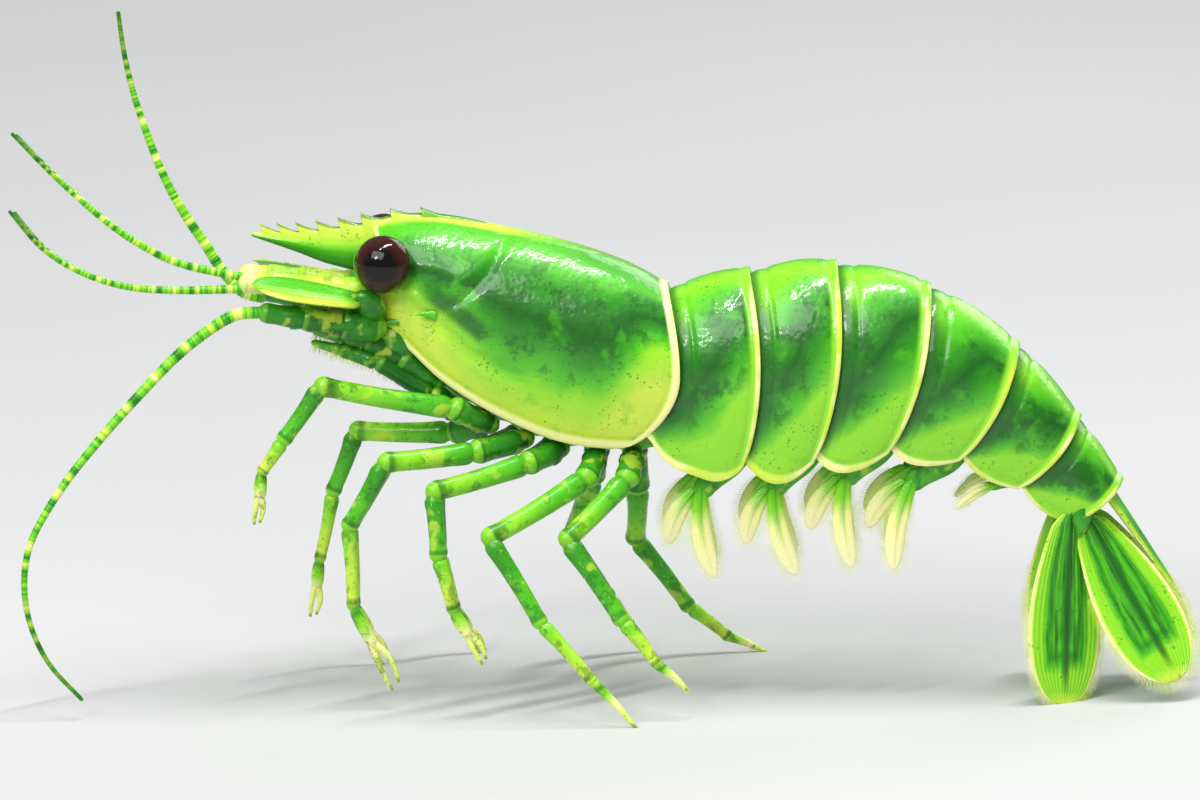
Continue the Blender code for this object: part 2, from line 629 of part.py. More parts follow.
def make_fan_blade(name, ends, flare, finish, neighbours):
    """A uropod blade, its lower edge spread outwards like the side of a tent."""
    root, tip = ends
    ahead = (tip - root).normalized()
    fore = Vector((ahead.z, 0, -ahead.x)).normalized()
    across = fore + Vector((0, -BLADE_FLARE * flare, 0))
    made = blade(name, root, tip, across, BLADE_WIDTH, BLADE_THICKNESS, finish, 0.34, 9, hollow=0.5)
    return trim(made, *neighbours)


def main():
    for old in list(bpy.data.objects):
        bpy.data.objects.remove(old)
    eyes = make_eyes()
    carapace = make_carapace(eyes)
    breast = make_breast(carapace)
    head = make_head(carapace, breast, *eyes)
    plates = [make_plate(number) for number in range(len(PLATE_EDGES) - 1)]

    flesh = material("underside_green", DEEP_GREEN)
    body = (head, carapace)
    both_sides("eyestalk", lambda n: tube(n, EYESTALK, EYESTALK_RADII, flesh, 10, across=Z_AXIS), (*body, eyes[0]))
    antennule = both_sides("antennule", lambda n: tube(n, ANTENNULE, ANTENNULE_RADII, flesh), body)
    antenna = both_sides("antenna_base", lambda n: tube(n, ANTENNA_BASE, ANTENNA_BASE_RADII, flesh), body)
    both_sides("antennal_scale", make_scale, (*body, eyes[0], antennule[0], antenna[0]))
    jaws = both_sides("maxilliped", lambda n: tube(n, MAXILLIPED, MAXILLIPED_RADII, flesh, 6), (breast, *body))
    make_feelers((*antennule, *antenna))

    for name, (kind, joints) in LEGS.items():
        make_leg(name, kind, joints, (breast, carapace, *(jaws if name.startswith("leg_1") else ())))
    for number in range(len(SWIMMERETS)):
        make_swimmeret(number, plates[number])
    make_tail_fan(plates[-1])


main()
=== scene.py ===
"""A life-size green shrimp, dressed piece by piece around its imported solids.

Frame: metres, +Z up. The head looks along -X and the animal's left side is at -Y. Sizes and places in the
tables are millimetres, as the solids' own, and become metres where a mesh is made.
"""

import math
import random

import bpy
import numpy as np
from mathutils import Matrix, Vector, noise


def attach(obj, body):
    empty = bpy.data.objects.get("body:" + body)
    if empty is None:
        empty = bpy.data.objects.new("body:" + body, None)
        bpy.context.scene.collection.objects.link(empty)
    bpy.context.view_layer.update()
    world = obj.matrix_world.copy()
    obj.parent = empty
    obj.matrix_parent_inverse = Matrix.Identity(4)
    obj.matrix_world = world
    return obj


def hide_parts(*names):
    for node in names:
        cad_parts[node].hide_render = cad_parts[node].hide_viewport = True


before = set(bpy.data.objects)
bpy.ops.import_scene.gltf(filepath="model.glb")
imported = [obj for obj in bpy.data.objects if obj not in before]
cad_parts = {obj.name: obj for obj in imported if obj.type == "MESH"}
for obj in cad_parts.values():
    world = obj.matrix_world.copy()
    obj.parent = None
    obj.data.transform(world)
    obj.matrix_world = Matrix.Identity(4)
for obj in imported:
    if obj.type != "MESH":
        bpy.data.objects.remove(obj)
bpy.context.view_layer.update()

bl_info = {
    "name": "Green Shrimp",
    "version": (1, 0, 0),
    "blender": (4, 5, 0),
    "location": "View3D > Sidebar > Shrimp",
    "description": "Models a standing green shrimp, piece by piece",
    "category": "Add Mesh",
}

MM = 0.001
BODY = "root"
X_AXIS, Y_AXIS, Z_AXIS = Vector((1, 0, 0)), Vector((0, 1, 0)), Vector((0, 0, 1))

# Shell sections: u runs from the lower left edge, over the back, to the lower right edge.
SHOULDER = 0.55

# Carapace, along x: height of the back, height of the lower edge, half width.
CARAPACE = (
    (-34.0, 71.3, 56.9, 4.6),
    (-30.0, 72.4, 54.4, 7.0),
    (-24.0, 72.5, 48.9, 8.9),
    (-15.0, 71.0, 43.4, 10.4),
    (-6.0, 69.0, 39.8, 11.2),
    (3.0, 66.0, 38.7, 11.5),
    (12.0, 61.2, 39.3, 11.1),
)
CARAPACE_TUCK = 0.30
CARAPACE_FRONT = -34.0
CARAPACE_COLUMNS, CARAPACE_ROWS = 132, 130
CARAPACE_RIM, PLATE_RIM = 0.14, 0.12  # rounding of the walls' edges
ORBIT_DEPTH, ORBIT_SHARE, ORBIT_SPREAD = 4.5, 0.25, 0.35
REAR_X, REAR_CURVE, REAR_CORNER = 11.8, 1.8, 6.0
CORNER_ROUNDING = 3.2

# Relief of the carapace: each furrow or ridge as its depth, half width and route in side view.
FURROWS = (
    (-0.62, 0.85, ((-25.0, 59.2), (-21.0, 61.6), (-17.0, 65.4), (-14.6, 69.6))),  # cervical groove
    (-0.55, 0.95, ((-30.5, 61.2), (-25.0, 58.6), (-19.5, 53.4), (-13.0, 50.2))),  # hepatic groove
    (-0.22, 0.70, ((-13.0, 63.4), (-3.0, 62.0), (8.0, 57.0))),  # line between heart and gill chambers
    (0.34, 0.60, ((-33.6, 63.0), (-29.0, 62.6), (-26.0, 61.2))),  # antennal ridge
    (0.24, 0.70, ((-29.0, 66.8), (-25.0, 66.6), (-21.0, 65.4))),  # ridge behind the eye
)
SPINES = (  # root in side view, reach from it and radius of the spines on each side of the carapace
    ((-30.3, 62.9), (-3.6, -0.5, -0.3), 0.85),  # antennal
    ((-25.0, 59.2), (-2.9, -0.9, 0.1), 0.85),  # hepatic
    ((-30.2, 57.6), (-3.0, -0.1, -0.4), 0.7),  # at the lower front corner
)

# Rostrum: a blade on the midline, with forward-leaning teeth on its upper edge.
ROSTRUM_TIP, ROSTRUM_ROOT = -52.2, -10.0
ROSTRUM_CREST = (
    (-52.2, 70.1), (-44.0, 70.4), (-36.0, 71.6), (-30.0, 73.0),
    (-22.0, 72.7), (-10.0, 69.8),
)
ROSTRUM_KEEL = (
    (-52.2, 69.5), (-46.0, 67.3), (-40.0, 65.1), (-34.0, 64.4),
    (-30.0, 68.2), (-22.0, 70.3), (-10.0, 68.2),
)
ROSTRUM_HALF_WIDTH = ((-52.2, 0.25), (-40.0, 0.75), (-30.0, 1.2), (-10.0, 0.5))
TOOTH_TIPS = (-50.2, -47.6, -44.8, -41.8, -38.6, -35.2, -31.0, -26.4)
ROSTRUM_RINGS, ROSTRUM_SIDES = 210, 28
TOOTH_LENGTH, TOOTH_FACE = 2.4, 0.35  # from a tooth's tip backwards, and forwards
FREE_TOOTH, REAR_TOOTH = 1.45, 1.0  # height of the teeth ahead of the carapace, and on it

# Abdomen: the rear edge of each plate, as x and z of its middle, half height, half width and backward lean.
PLATE_EDGES = (
    (11.8, 49.2, 12.3, 10.3, 0.0),
    (23.8, 49.5, 14.4, 10.7, 2.0),
    (35.6, 50.2, 14.7, 10.5, 7.0),
    (47.8, 49.0, 12.6, 9.6, 15.0),
    (59.2, 43.7, 9.4, 7.9, 29.0),
    (67.8, 36.0, 6.8, 6.1, 43.0),
    (74.4, 28.6, 5.0, 4.9, 55.0),
)
PLATE_TUCK = 0.12
PLATE_HOLLOW = 0.20
PLATE_LIP = 0.045
PLATE_SWELL = (0.06, 0.05, 0.04, 0.035, 0.03, 0.03)
PLATE_GAP = 0.35
FLAP_DROP = 0.08
# How far the first plate's lower front corner reaches forwards under the carapace, and up.
FRONT_LOBE, FRONT_LIFT = 2.8, 2.6
PLATE_FRONT = -0.16  # how far a plate starts under the one in front, as a share of its length
PLATE_ROWS, PLATE_COLUMNS = 64, 104
KEELS = (0.0, 0.0, 0.0, 0.15, 0.2, 0.2)  # height of the ridge along the back of each plate

# Breast and head.
BREAST_X = (-31.0, 7.6)
BREAST_HALF_WIDTH = 5.4
BREAST_BELOW = 1.6
# Head, along x: half width and half height.
HEAD = ((-37.6, 3.0, 3.0), (-36.0, 4.4, 4.6), (-33.0, 4.6, 5.2), (-30.0, 4.4, 5.4), (-27.0, 4.2, 5.6))
HEAD_MIDDLE = 60.6
LEG_SPACING = 5.35

EYE_CENTRE = Vector((-32.6, -8.2, 66.9))
EYE_SHAPE = (1.0, 0.94, 1.02)  # the eye's sizes beside a ball's
EYE_CUP = 0.9  # how far short of its middle the eye comes out of its stalk
CUP_START, CUP_STEPS = 3.95, 14  # where the cup begins before that middle, and its rings
EYESTALK = ((-35.0, -1.6, 64.6), (-34.2, -3.6, 65.4), (-33.0, -6.4, 66.5))

# Stems and limbs of the head: joints from root to end, and the radius at each.
ANTENNULE = (
    (-34.8, -2.6, 61.1), (-38.0, -2.7, 61.7), (-45.0, -2.9, 62.5), (-49.6, -3.0, 62.9),
    (-53.2, -3.1, 63.1),
)
ANTENNULE_RADII = (2.1, 2.2, 1.8, 1.7, 1.55)
ANTENNA_BASE = ((-33.6, -5.6, 56.8), (-38.0, -6.4, 57.5), (-44.0, -7.4, 58.5), (-50.2, -8.0, 59.5))
ANTENNA_BASE_RADII = (2.5, 2.4, 1.9, 1.5)
SCALE_ROOT, SCALE_TIP = Vector((-35.5, -7.6, 61.2)), Vector((-52.0, -8.3, 64.1))
SCALE_WIDTH = 6.6
SCALE_ROLL = 20.0
MAXILLIPED = (
    (-21.0, -4.0, 42.7), (-25.0, -4.8, 46.2), (-33.0, -5.0, 51.2), (-38.6, -4.6, 53.0),
    (-43.4, -4.0, 54.2),
)
MAXILLIPED_RADII = (1.8, 1.5, 1.3, 1.0, 0.5)
INNER_MAXILLIPED = (
    (-24.5, -3.4, 47.6), (-29.5, -4.2, 51.4), (-34.6, -4.6, 54.4), (-37.6, -4.2, 54.6),
    (-38.4, -3.4, 52.6),
)
INNER_MAXILLIPED_RADII = (1.7, 1.7, 1.5, 1.1, 0.4)
MOUTH_HAIRS = 150
JAW = ((-26.5, -2.8, 51.6), (-30.5, -3.6, 54.0), (-34.4, -3.4, 56.2))

# Feelers: radius at the root and at the tip, and the route from the stem outwards.
FEELERS = {
    "antenna_left": ((0.95, 0.32), (
        (-50.7, -8.1, 59.6), (-54.6, -8.3, 59.2), (-58.6, -8.8, 57.0), (-63.6, -10.0, 53.1),
        (-69.4, -12.0, 47.3), (-75.2, -14.0, 41.0), (-80.6, -16.0, 34.3), (-84.8, -18.0, 27.3),
        (-86.1, -19.0, 21.3), (-85.3, -20.0, 14.7), (-82.4, -20.5, 8.5), (-77.4, -21.0, 3.0),
    )),
    "antenna_right": ((0.95, 0.32), (
        (-50.7, 8.1, 58.5), (-53.8, 8.4, 59.3), (-56.9, 8.8, 62.5), (-59.6, 9.0, 66.7),
        (-62.6, 9.5, 71.1), (-65.4, 10.0, 76.2), (-67.9, 11.0, 82.2), (-70.1, 12.0, 88.7),
        (-71.6, 13.0, 95.0), (-72.5, 14.0, 101.2),
    )),
    "antennule_upper_left": ((0.68, 0.28), (
        (-53.7, -3.0, 63.9), (-62.4, -4.0, 66.0), (-67.6, -5.0, 68.5), (-73.6, -6.5, 72.8),
        (-81.1, -8.5, 79.9), (-87.9, -11.0, 87.5),
    )),
    "antennule_lower_left": ((0.68, 0.28), (
        (-53.7, -3.4, 62.2), (-63.1, -4.5, 62.2), (-70.6, -6.0, 63.0), (-77.4, -8.0, 65.5),
        (-83.4, -10.0, 69.7), (-88.3, -12.0, 75.9),
    )),
}
RIGHT_FEELER_DROOP = 0.42

# Legs: root, end of the thigh, knee, wrist, ankle and tip. A pincer leg's last stretch splits in two fingers.
LEG_RADII = (2.0, 1.75, 1.45, 1.15, 0.85, 0.3)
LEGS = {
    "leg_1_left": ("pincer", (
        (-16.5, -4.6, 41.6), (-21.9, -7.4, 44.8), (-41.9, -10.0, 48.7),
        (-47.5, -10.6, 40.6), (-50.7, -11.0, 35.8), (-51.9, -11.2, 27.8),
    )),
    "leg_1_right": ("pincer", (
        (-16.5, 4.6, 40.2), (-22.1, 7.4, 38.0), (-36.9, 10.0, 37.6),
        (-40.4, 10.6, 28.1), (-42.4, 11.0, 17.6), (-43.9, 11.2, 8.7),
    )),
    "leg_2_left": ("pincer", (
        (-11.2, -4.7, 39.6), (-18.6, -8.8, 38.4), (-32.4, -13.0, 37.6),
        (-37.8, -14.0, 28.1), (-37.2, -14.0, 15.9), (-31.2, -14.0, 3.0),
    )),
    "leg_2_right": ("pincer", (
        (-11.2, 4.7, 38.6), (-18.6, 8.8, 34.7), (-32.4, 12.6, 32.2),
        (-37.8, 14.2, 22.1), (-37.2, 15.6, 9.6), (-32.8, 17.0, -0.4),
    )),
    "leg_3_left": ("pincer", (
        (-5.9, -4.8, 38.2), (-10.9, -9.8, 36.9), (-25.1, -18.0, 34.2),
        (-24.4, -19.6, 24.7), (-22.1, -20.2, 16.6), (-17.7, -21.0, 8.6),
    )),
    "leg_3_right": ("pincer", (
        (-5.9, 4.8, 37.4), (-10.9, 9.8, 32.7), (-25.1, 17.4, 26.7),
        (-24.4, 20.4, 16.2), (-22.1, 22.8, 7.5), (-18.2, 25.0, -0.4),
    )),
    "leg_4_left": ("claw", (
        (-0.5, -4.9, 37.6), (-2.2, -10.8, 34.8), (-16.8, -20.0, 27.6),
        (-9.0, -23.4, 15.4), (-1.3, -25.2, 6.9), (5.5, -26.0, -0.4),
    )),
    "leg_4_right": ("claw", (
        (-0.5, 4.9, 37.2), (-1.2, 10.4, 30.5), (-4.8, 17.0, 19.0),
        (1.2, 22.0, 9.2), (4.4, 24.2, 4.4), (8.0, 26.0, -0.4),
    )),
    "leg_5_left": ("claw", (
        (4.9, -4.9, 37.6), (3.9, -10.0, 34.6), (-5.2, -16.5, 26.5),
        (3.1, -19.6, 14.9), (8.5, -20.6, 8.4), (13.0, -21.0, 4.5),
    )),
    "leg_5_right": ("claw", (
        (4.9, 4.9, 37.2), (5.5, 10.2, 29.0), (5.2, 17.4, 19.3),
        (13.3, 22.4, 7.7), (19.3, 24.6, 2.6), (25.3, 26.0, -0.4),
    )),
}
FINGER_START = 0.45
FINGER_OPENING = 0.13

# Swimmerets, a pair under each of the first five plates: size beside the largest, and how far the stem leans
# forwards and the paddles sweep.
SWIMMERETS = ((1.0, 0.8, -0.18), (1.0, 0.75, -0.28), (1.0, 0.9, -0.1), (1.0, 1.2, 0.18), (0.48, 2.2, 1.6))
STEM_PROFILE = (0.0, 2.4, 2.75, 2.95, 3.0, 2.9, 2.7, 2.4, 2.1, 1.85, 1.7, 1.65, 1.2, 0.0)
STEM_FLATNESS = 0.55
SWIMMERET_STEM, SWIMMERET_OUTER, SWIMMERET_INNER, SWIMMERET_WIDTH = 10.0, 13.0, 9.0, 3.0

# Tail fan.
TELSON_LENGTH, TELSON_WIDTH = 20.0, 6.4
INNER_BLADE = (Vector((72.6, -3.0, 27.5)), Vector((86.6, -8.6, 3.4)))
OUTER_BLADE = (Vector((70.2, -4.4, 28.4)), Vector((69.4, -9.6, -0.5)))
BLADE_WIDTH, BLADE_THICKNESS, BLADE_FLARE = 12.4, 1.3, 0.55
TELSON_RINGS, TELSON_SIDES = 80, 56
MARGIN_STEPS = 89
BLADE_WIDEST = 0.62  # how far along a blade it is widest
FAN_STEM = ((72.2, -2.6, 30.6), (71.9, -3.6, 27.4), (71.6, -4.6, 24.2))
FAN_STEM_PROFILE = (0.0, 1.6, 1.75, 1.85, 1.95, 2.0, 2.0, 1.95, 1.85, 1.72, 1.55, 1.35, 1.1, 0.82, 0.48, 0.0)

# Stage.
CAMERA_AIM = Vector((-0.00015, 0.0, 0.04447))
CAMERA_RISE = 12.0  # degrees above the horizon
CAMERA_DISTANCE, CAMERA_LENS = 3.0, 600.0
FLOOR_SIZE = 12.0
LIGHTS = {  # place and size in metres, and power
    "soft_top": ((0.10, -0.10, 0.95), (0.85, 0.05), 9.0),
    "soft_key": ((-0.8, -1.6, 1.7), (2.0, 1.2), 37.0),
    "catch_light": ((-0.75, -1.3, 0.95), (0.26, 0.24), 5.0),
    "soft_back": ((0.9, 1.2, 0.9), (1.2, 0.8), 9.0),
}


# Shapes --------------------


def smooth(rows, x):
    """The columns after the first, read at x on a smooth curve through the rows."""
    last = len(rows) - 1
    upper = next((i for i in range(1, last) if rows[i][0] >= x), last)
    low, high = rows[upper - 1], rows[upper]
    span = high[0] - low[0]
    t = min(1.0, max(0.0, (x - low[0]) / span))

    def slope(row, column):
        before, after = rows[max(row - 1, 0)], rows[min(row + 1, last)]
        return (after[column] - before[column]) / (after[0] - before[0]) * span

    return [
        low[c] * (2 * t**3 - 3 * t**2 + 1)
        + slope(upper - 1, c) * (t**3 - 2 * t**2 + t)
        + high[c] * (3 * t**2 - 2 * t**3)
        + slope(upper, c) * (t**3 - t**2)
        for c in range(1, len(low))
    ]


def through(points, count):
    """A number of points on a smooth curve through the given ones."""
    rows = [(i, *p) for i, p in enumerate(points)]
    last = len(points) - 1
    return [Vector(smooth(rows, last * i / (count - 1))) for i in range(count)]


def evenly(points, step):
    """Points at even steps along a line of points, both ends kept."""
    reach = [0.0]
    for a, b in zip(points, points[1:]):
        reach.append(reach[-1] + (b - a).length)
    count = max(2, round(reach[-1] / step))
    found, i = [], 0
    for k in range(count + 1):
        place = reach[-1] * k / count
        while i < len(points) - 2 and reach[i + 1] < place:
            i += 1
        share = (place - reach[i]) / max(1e-9, reach[i + 1] - reach[i])
        found.append(points[i].lerp(points[i + 1], share))
    return found


def bump_at(x, middle, width):
    """A rounded bump of height 1 at the middle."""
    return math.exp(-(((x - middle) / width) ** 2))


def ease(low, high, x):
    """0 up to low, 1 from high on, and an even curve between. Low may be the larger of the two."""
    t = min(1.0, max(0.0, (x - low) / (high - low)))
    return t * t * (3 - 2 * t)


def turns(count):
    """Cosine and sine of even turns round a circle."""
    for k in range(count):
        turn = 2 * math.pi * k / count
        yield math.cos(turn), math.sin(turn)


def heading(points, i):
    """The direction of a path at one of its points."""
    return (points[min(i + 1, len(points) - 1)] - points[max(i - 1, 0)]).normalized()


def slanted(lean):
    """The backward and upward directions of a section that leans by some degrees."""
    lean = math.radians(lean)
    return Vector((math.cos(lean), 0, -math.sin(lean))), Vector((math.sin(lean), 0, math.cos(lean)))


def vectors(points):
    return [Vector(p) for p in points]


def centre(points):
    return sum(points, Vector()) / len(points)


def select_only(*pieces):
    bpy.ops.object.select_all(action="DESELECT")
    for piece in pieces:
        piece.select_set(True)
    bpy.context.view_layer.objects.active = pieces[0]


def grown(name, rows, closed=True, marks=None):
    """A grid shaped to the given rows of points, in millimetres, no lower than the floor.

    A closed one meets itself along its sides. The grid's own UV map stays: u across the rows, and v along
    them or, with marks, at each row's mark.
    """
    places = np.array([[tuple(p) for p in row] for row in rows], float) * MM
    places[..., 2] = np.maximum(places[..., 2], 0.0)
    along, count = len(rows) - 1, len(rows[0])
    across = count if closed else count - 1
    bpy.ops.object.select_all(action="DESELECT")
    bpy.ops.mesh.primitive_grid_add(x_subdivisions=across, y_subdivisions=along, size=1, calc_uvs=True)
    made = bpy.context.active_object
    made.name = made.data.name = name
    mesh = made.data
    flat = np.empty(len(mesh.vertices) * 3, np.float32)
    mesh.vertices.foreach_get("co", flat)
    grid = flat.reshape(-1, 3) + 0.5
    column = np.rint(grid[:, 0] * across).astype(int) % count
    row = np.rint(grid[:, 1] * along).astype(int)
    mesh.vertices.foreach_set("co", places[row, column].astype(np.float32).ravel())
    if marks is not None:
        layer = mesh.uv_layers.active.uv
        uv = np.empty(len(mesh.loops) * 2, np.float32)
        layer.foreach_get("vector", uv)
        uv = uv.reshape(-1, 2)
        uv[:, 1] = np.array(marks, np.float32)[np.rint(uv[:, 1] * along).astype(int)]
        layer.foreach_set("vector", uv.ravel())
    bpy.ops.object.mode_set(mode="EDIT")
    bpy.ops.mesh.select_all(action="SELECT")
    bpy.ops.mesh.remove_doubles(threshold=2e-6)
    bpy.ops.mesh.normals_make_consistent(inside=False)
    bpy.ops.object.mode_set(mode="OBJECT")
    return made


def with_modifier(made, kind, **settings):
    bpy.ops.object.modifier_add(type=kind)
    added = made.modifiers[-1]
    for key, value in settings.items():
        setattr(added, key, value)
    bpy.ops.object.modifier_apply(modifier=added.name)


def walled(made, depth, rounding):
    """Gives an open shell a wall inwards of its surface, with rounded rims. Sizes in millimetres."""
    select_only(made)
    with_modifier(made, "SOLIDIFY", thickness=depth * MM, offset=-1.0)
    angle = math.radians(60)
    with_modifier(made, "BEVEL", width=rounding * MM, segments=2, limit_method="ANGLE", angle_limit=angle)


def joined(name, parts):
    select_only(*parts)
    if len(parts) > 1:
        bpy.ops.object.join()
    made = bpy.context.view_layer.objects.active
    made.name = made.data.name = name
    return made


def mirrored(made, name):
    """The same piece on the animal's other side, with its own mesh."""
    select_only(made)
    bpy.ops.object.duplicate(linked=False)
    twin = bpy.context.active_object
    twin.name = twin.data.name = name
    twin.data.transform(Matrix.Scale(-1, 4, Y_AXIS))
    twin.data.flip_normals()
    return twin


def tube(name, points, radii, sides, flatness=1.0, across=Y_AXIS, marks=None):
    """Rings round a path, each with its own radius."""
    rows, side = [], across
    for i, (point, radius) in enumerate(zip(points, radii)):
        ahead = heading(points, i)
        side = (side - ahead * side.dot(ahead)).normalized()
        up = ahead.cross(side)
        rows.append([point + (side * c * flatness + up * s) * radius for c, s in turns(sides)])
    return grown(name, rows, marks=marks)


def finished(piece, material, slot, *nodes):
    """Dresses a finished piece, sets it on the body and hides the solids it stands for."""
    piece.data.materials.clear()
    piece.data.materials.append(material)
    select_only(piece)
    bpy.ops.object.shade_smooth_by_angle(angle=math.radians(55))
    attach(piece, BODY)
    if nodes:
        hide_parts(*nodes)
    return piece


# Bristles --------------------


FINE_HAIR, STIFF_HAIR = 0.05, 0.055  # radius at the root, in millimetres
HAIR_POINTS, PATCH_RADIUS = 7, 0.0015  # corners of one hair, and the size of its patch on the unwrap


def bristles(name, hairs, radius, material, slot):
    """Thin curved spikes as one mesh. Each is a root, a tip, a bend and the root's place on the unwrap."""
    points, faces = [], []
    for root, tip, bend, _ in hairs:
        ahead = (tip - root).normalized()
        side = ahead.orthogonal().normalized()
        up = ahead.cross(side)
        a = len(points)
        b, end = a + 3, a + 6
        for share, thick in ((0.0, 1.0), (0.45, 0.75)):
            middle = root.lerp(tip, share) + bend * math.sin(math.pi * share)
            points += [(middle + (side * c + up * s) * radius * thick) * MM for c, s in turns(3)]
        points.append(tip * MM)
        faces.append((a, a + 2, a + 1))
        for k in range(3):
            j = (k + 1) % 3
            faces += [(a + k, a + j, b + j, b + k), (b + k, b + j, end)]
    mesh = bpy.data.meshes.new(name)
    mesh.from_pydata([(p.x, p.y, max(p.z, 0.0)) for p in points], [], faces)
    made = bpy.data.objects.new(name, mesh)
    bpy.context.scene.collection.objects.link(made)
    layer = mesh.uv_layers.new(name="OFBake")
    corners = list(turns(HAIR_POINTS))
    for loop in mesh.loops:
        hair, corner = divmod(loop.vertex_index, HAIR_POINTS)
        (u, v), (c, s) = hairs[hair][3], corners[corner]
        layer.uv[loop.index].vector = (u + PATCH_RADIUS * c, v + PATCH_RADIUS * s)
    return finished(made, material, slot)


def hair_pair(name, hairs, radius, material, slot):
    bristles(f"{name}_left", hairs, radius, material, slot)
    flip = Vector((1, -1, 1))
    other = [(root * flip, tip * flip, bend * flip, place) for root, tip, bend, place in hairs]
    bristles(f"{name}_right", other, radius, material, slot)


def fringe(line, middle, normal, length, seed, spacing, lean, ahead):
    """Hairs that stand out from a margin, in its own plane and away from the middle."""
    draw = random.Random(seed)
    places = evenly(line, spacing)
    size = max((p - middle).length for p in places) * 2.2
    along = (places[0] + places[-1]) / 2 - middle
    along = (along - normal * along.dot(normal)).normalized()
    across = normal.cross(along)
    hairs = []
    for i, root in enumerate(places):
        out = heading(places, i).cross(normal).normalized()
        if out.dot(root - middle) < 0:
            out = -out
        out = (out + ahead * lean).normalized()
        fullness = 0.45 + 0.55 * math.sin(math.pi * (i + 0.5) / len(places)) ** 0.5
        reach = length * draw.uniform(0.85, 1.1) * fullness
        tip = root + out * reach + normal * draw.uniform(-0.08, 0.08) * reach
        bend = normal * draw.uniform(-0.06, 0.06) * reach
        offset = root - middle
        place = (0.5 + offset.dot(across) / size, 0.5 + offset.dot(along) / size)
        hairs.append((root - out * 0.15, tip, bend, place))
    return hairs


# Finishes --------------------


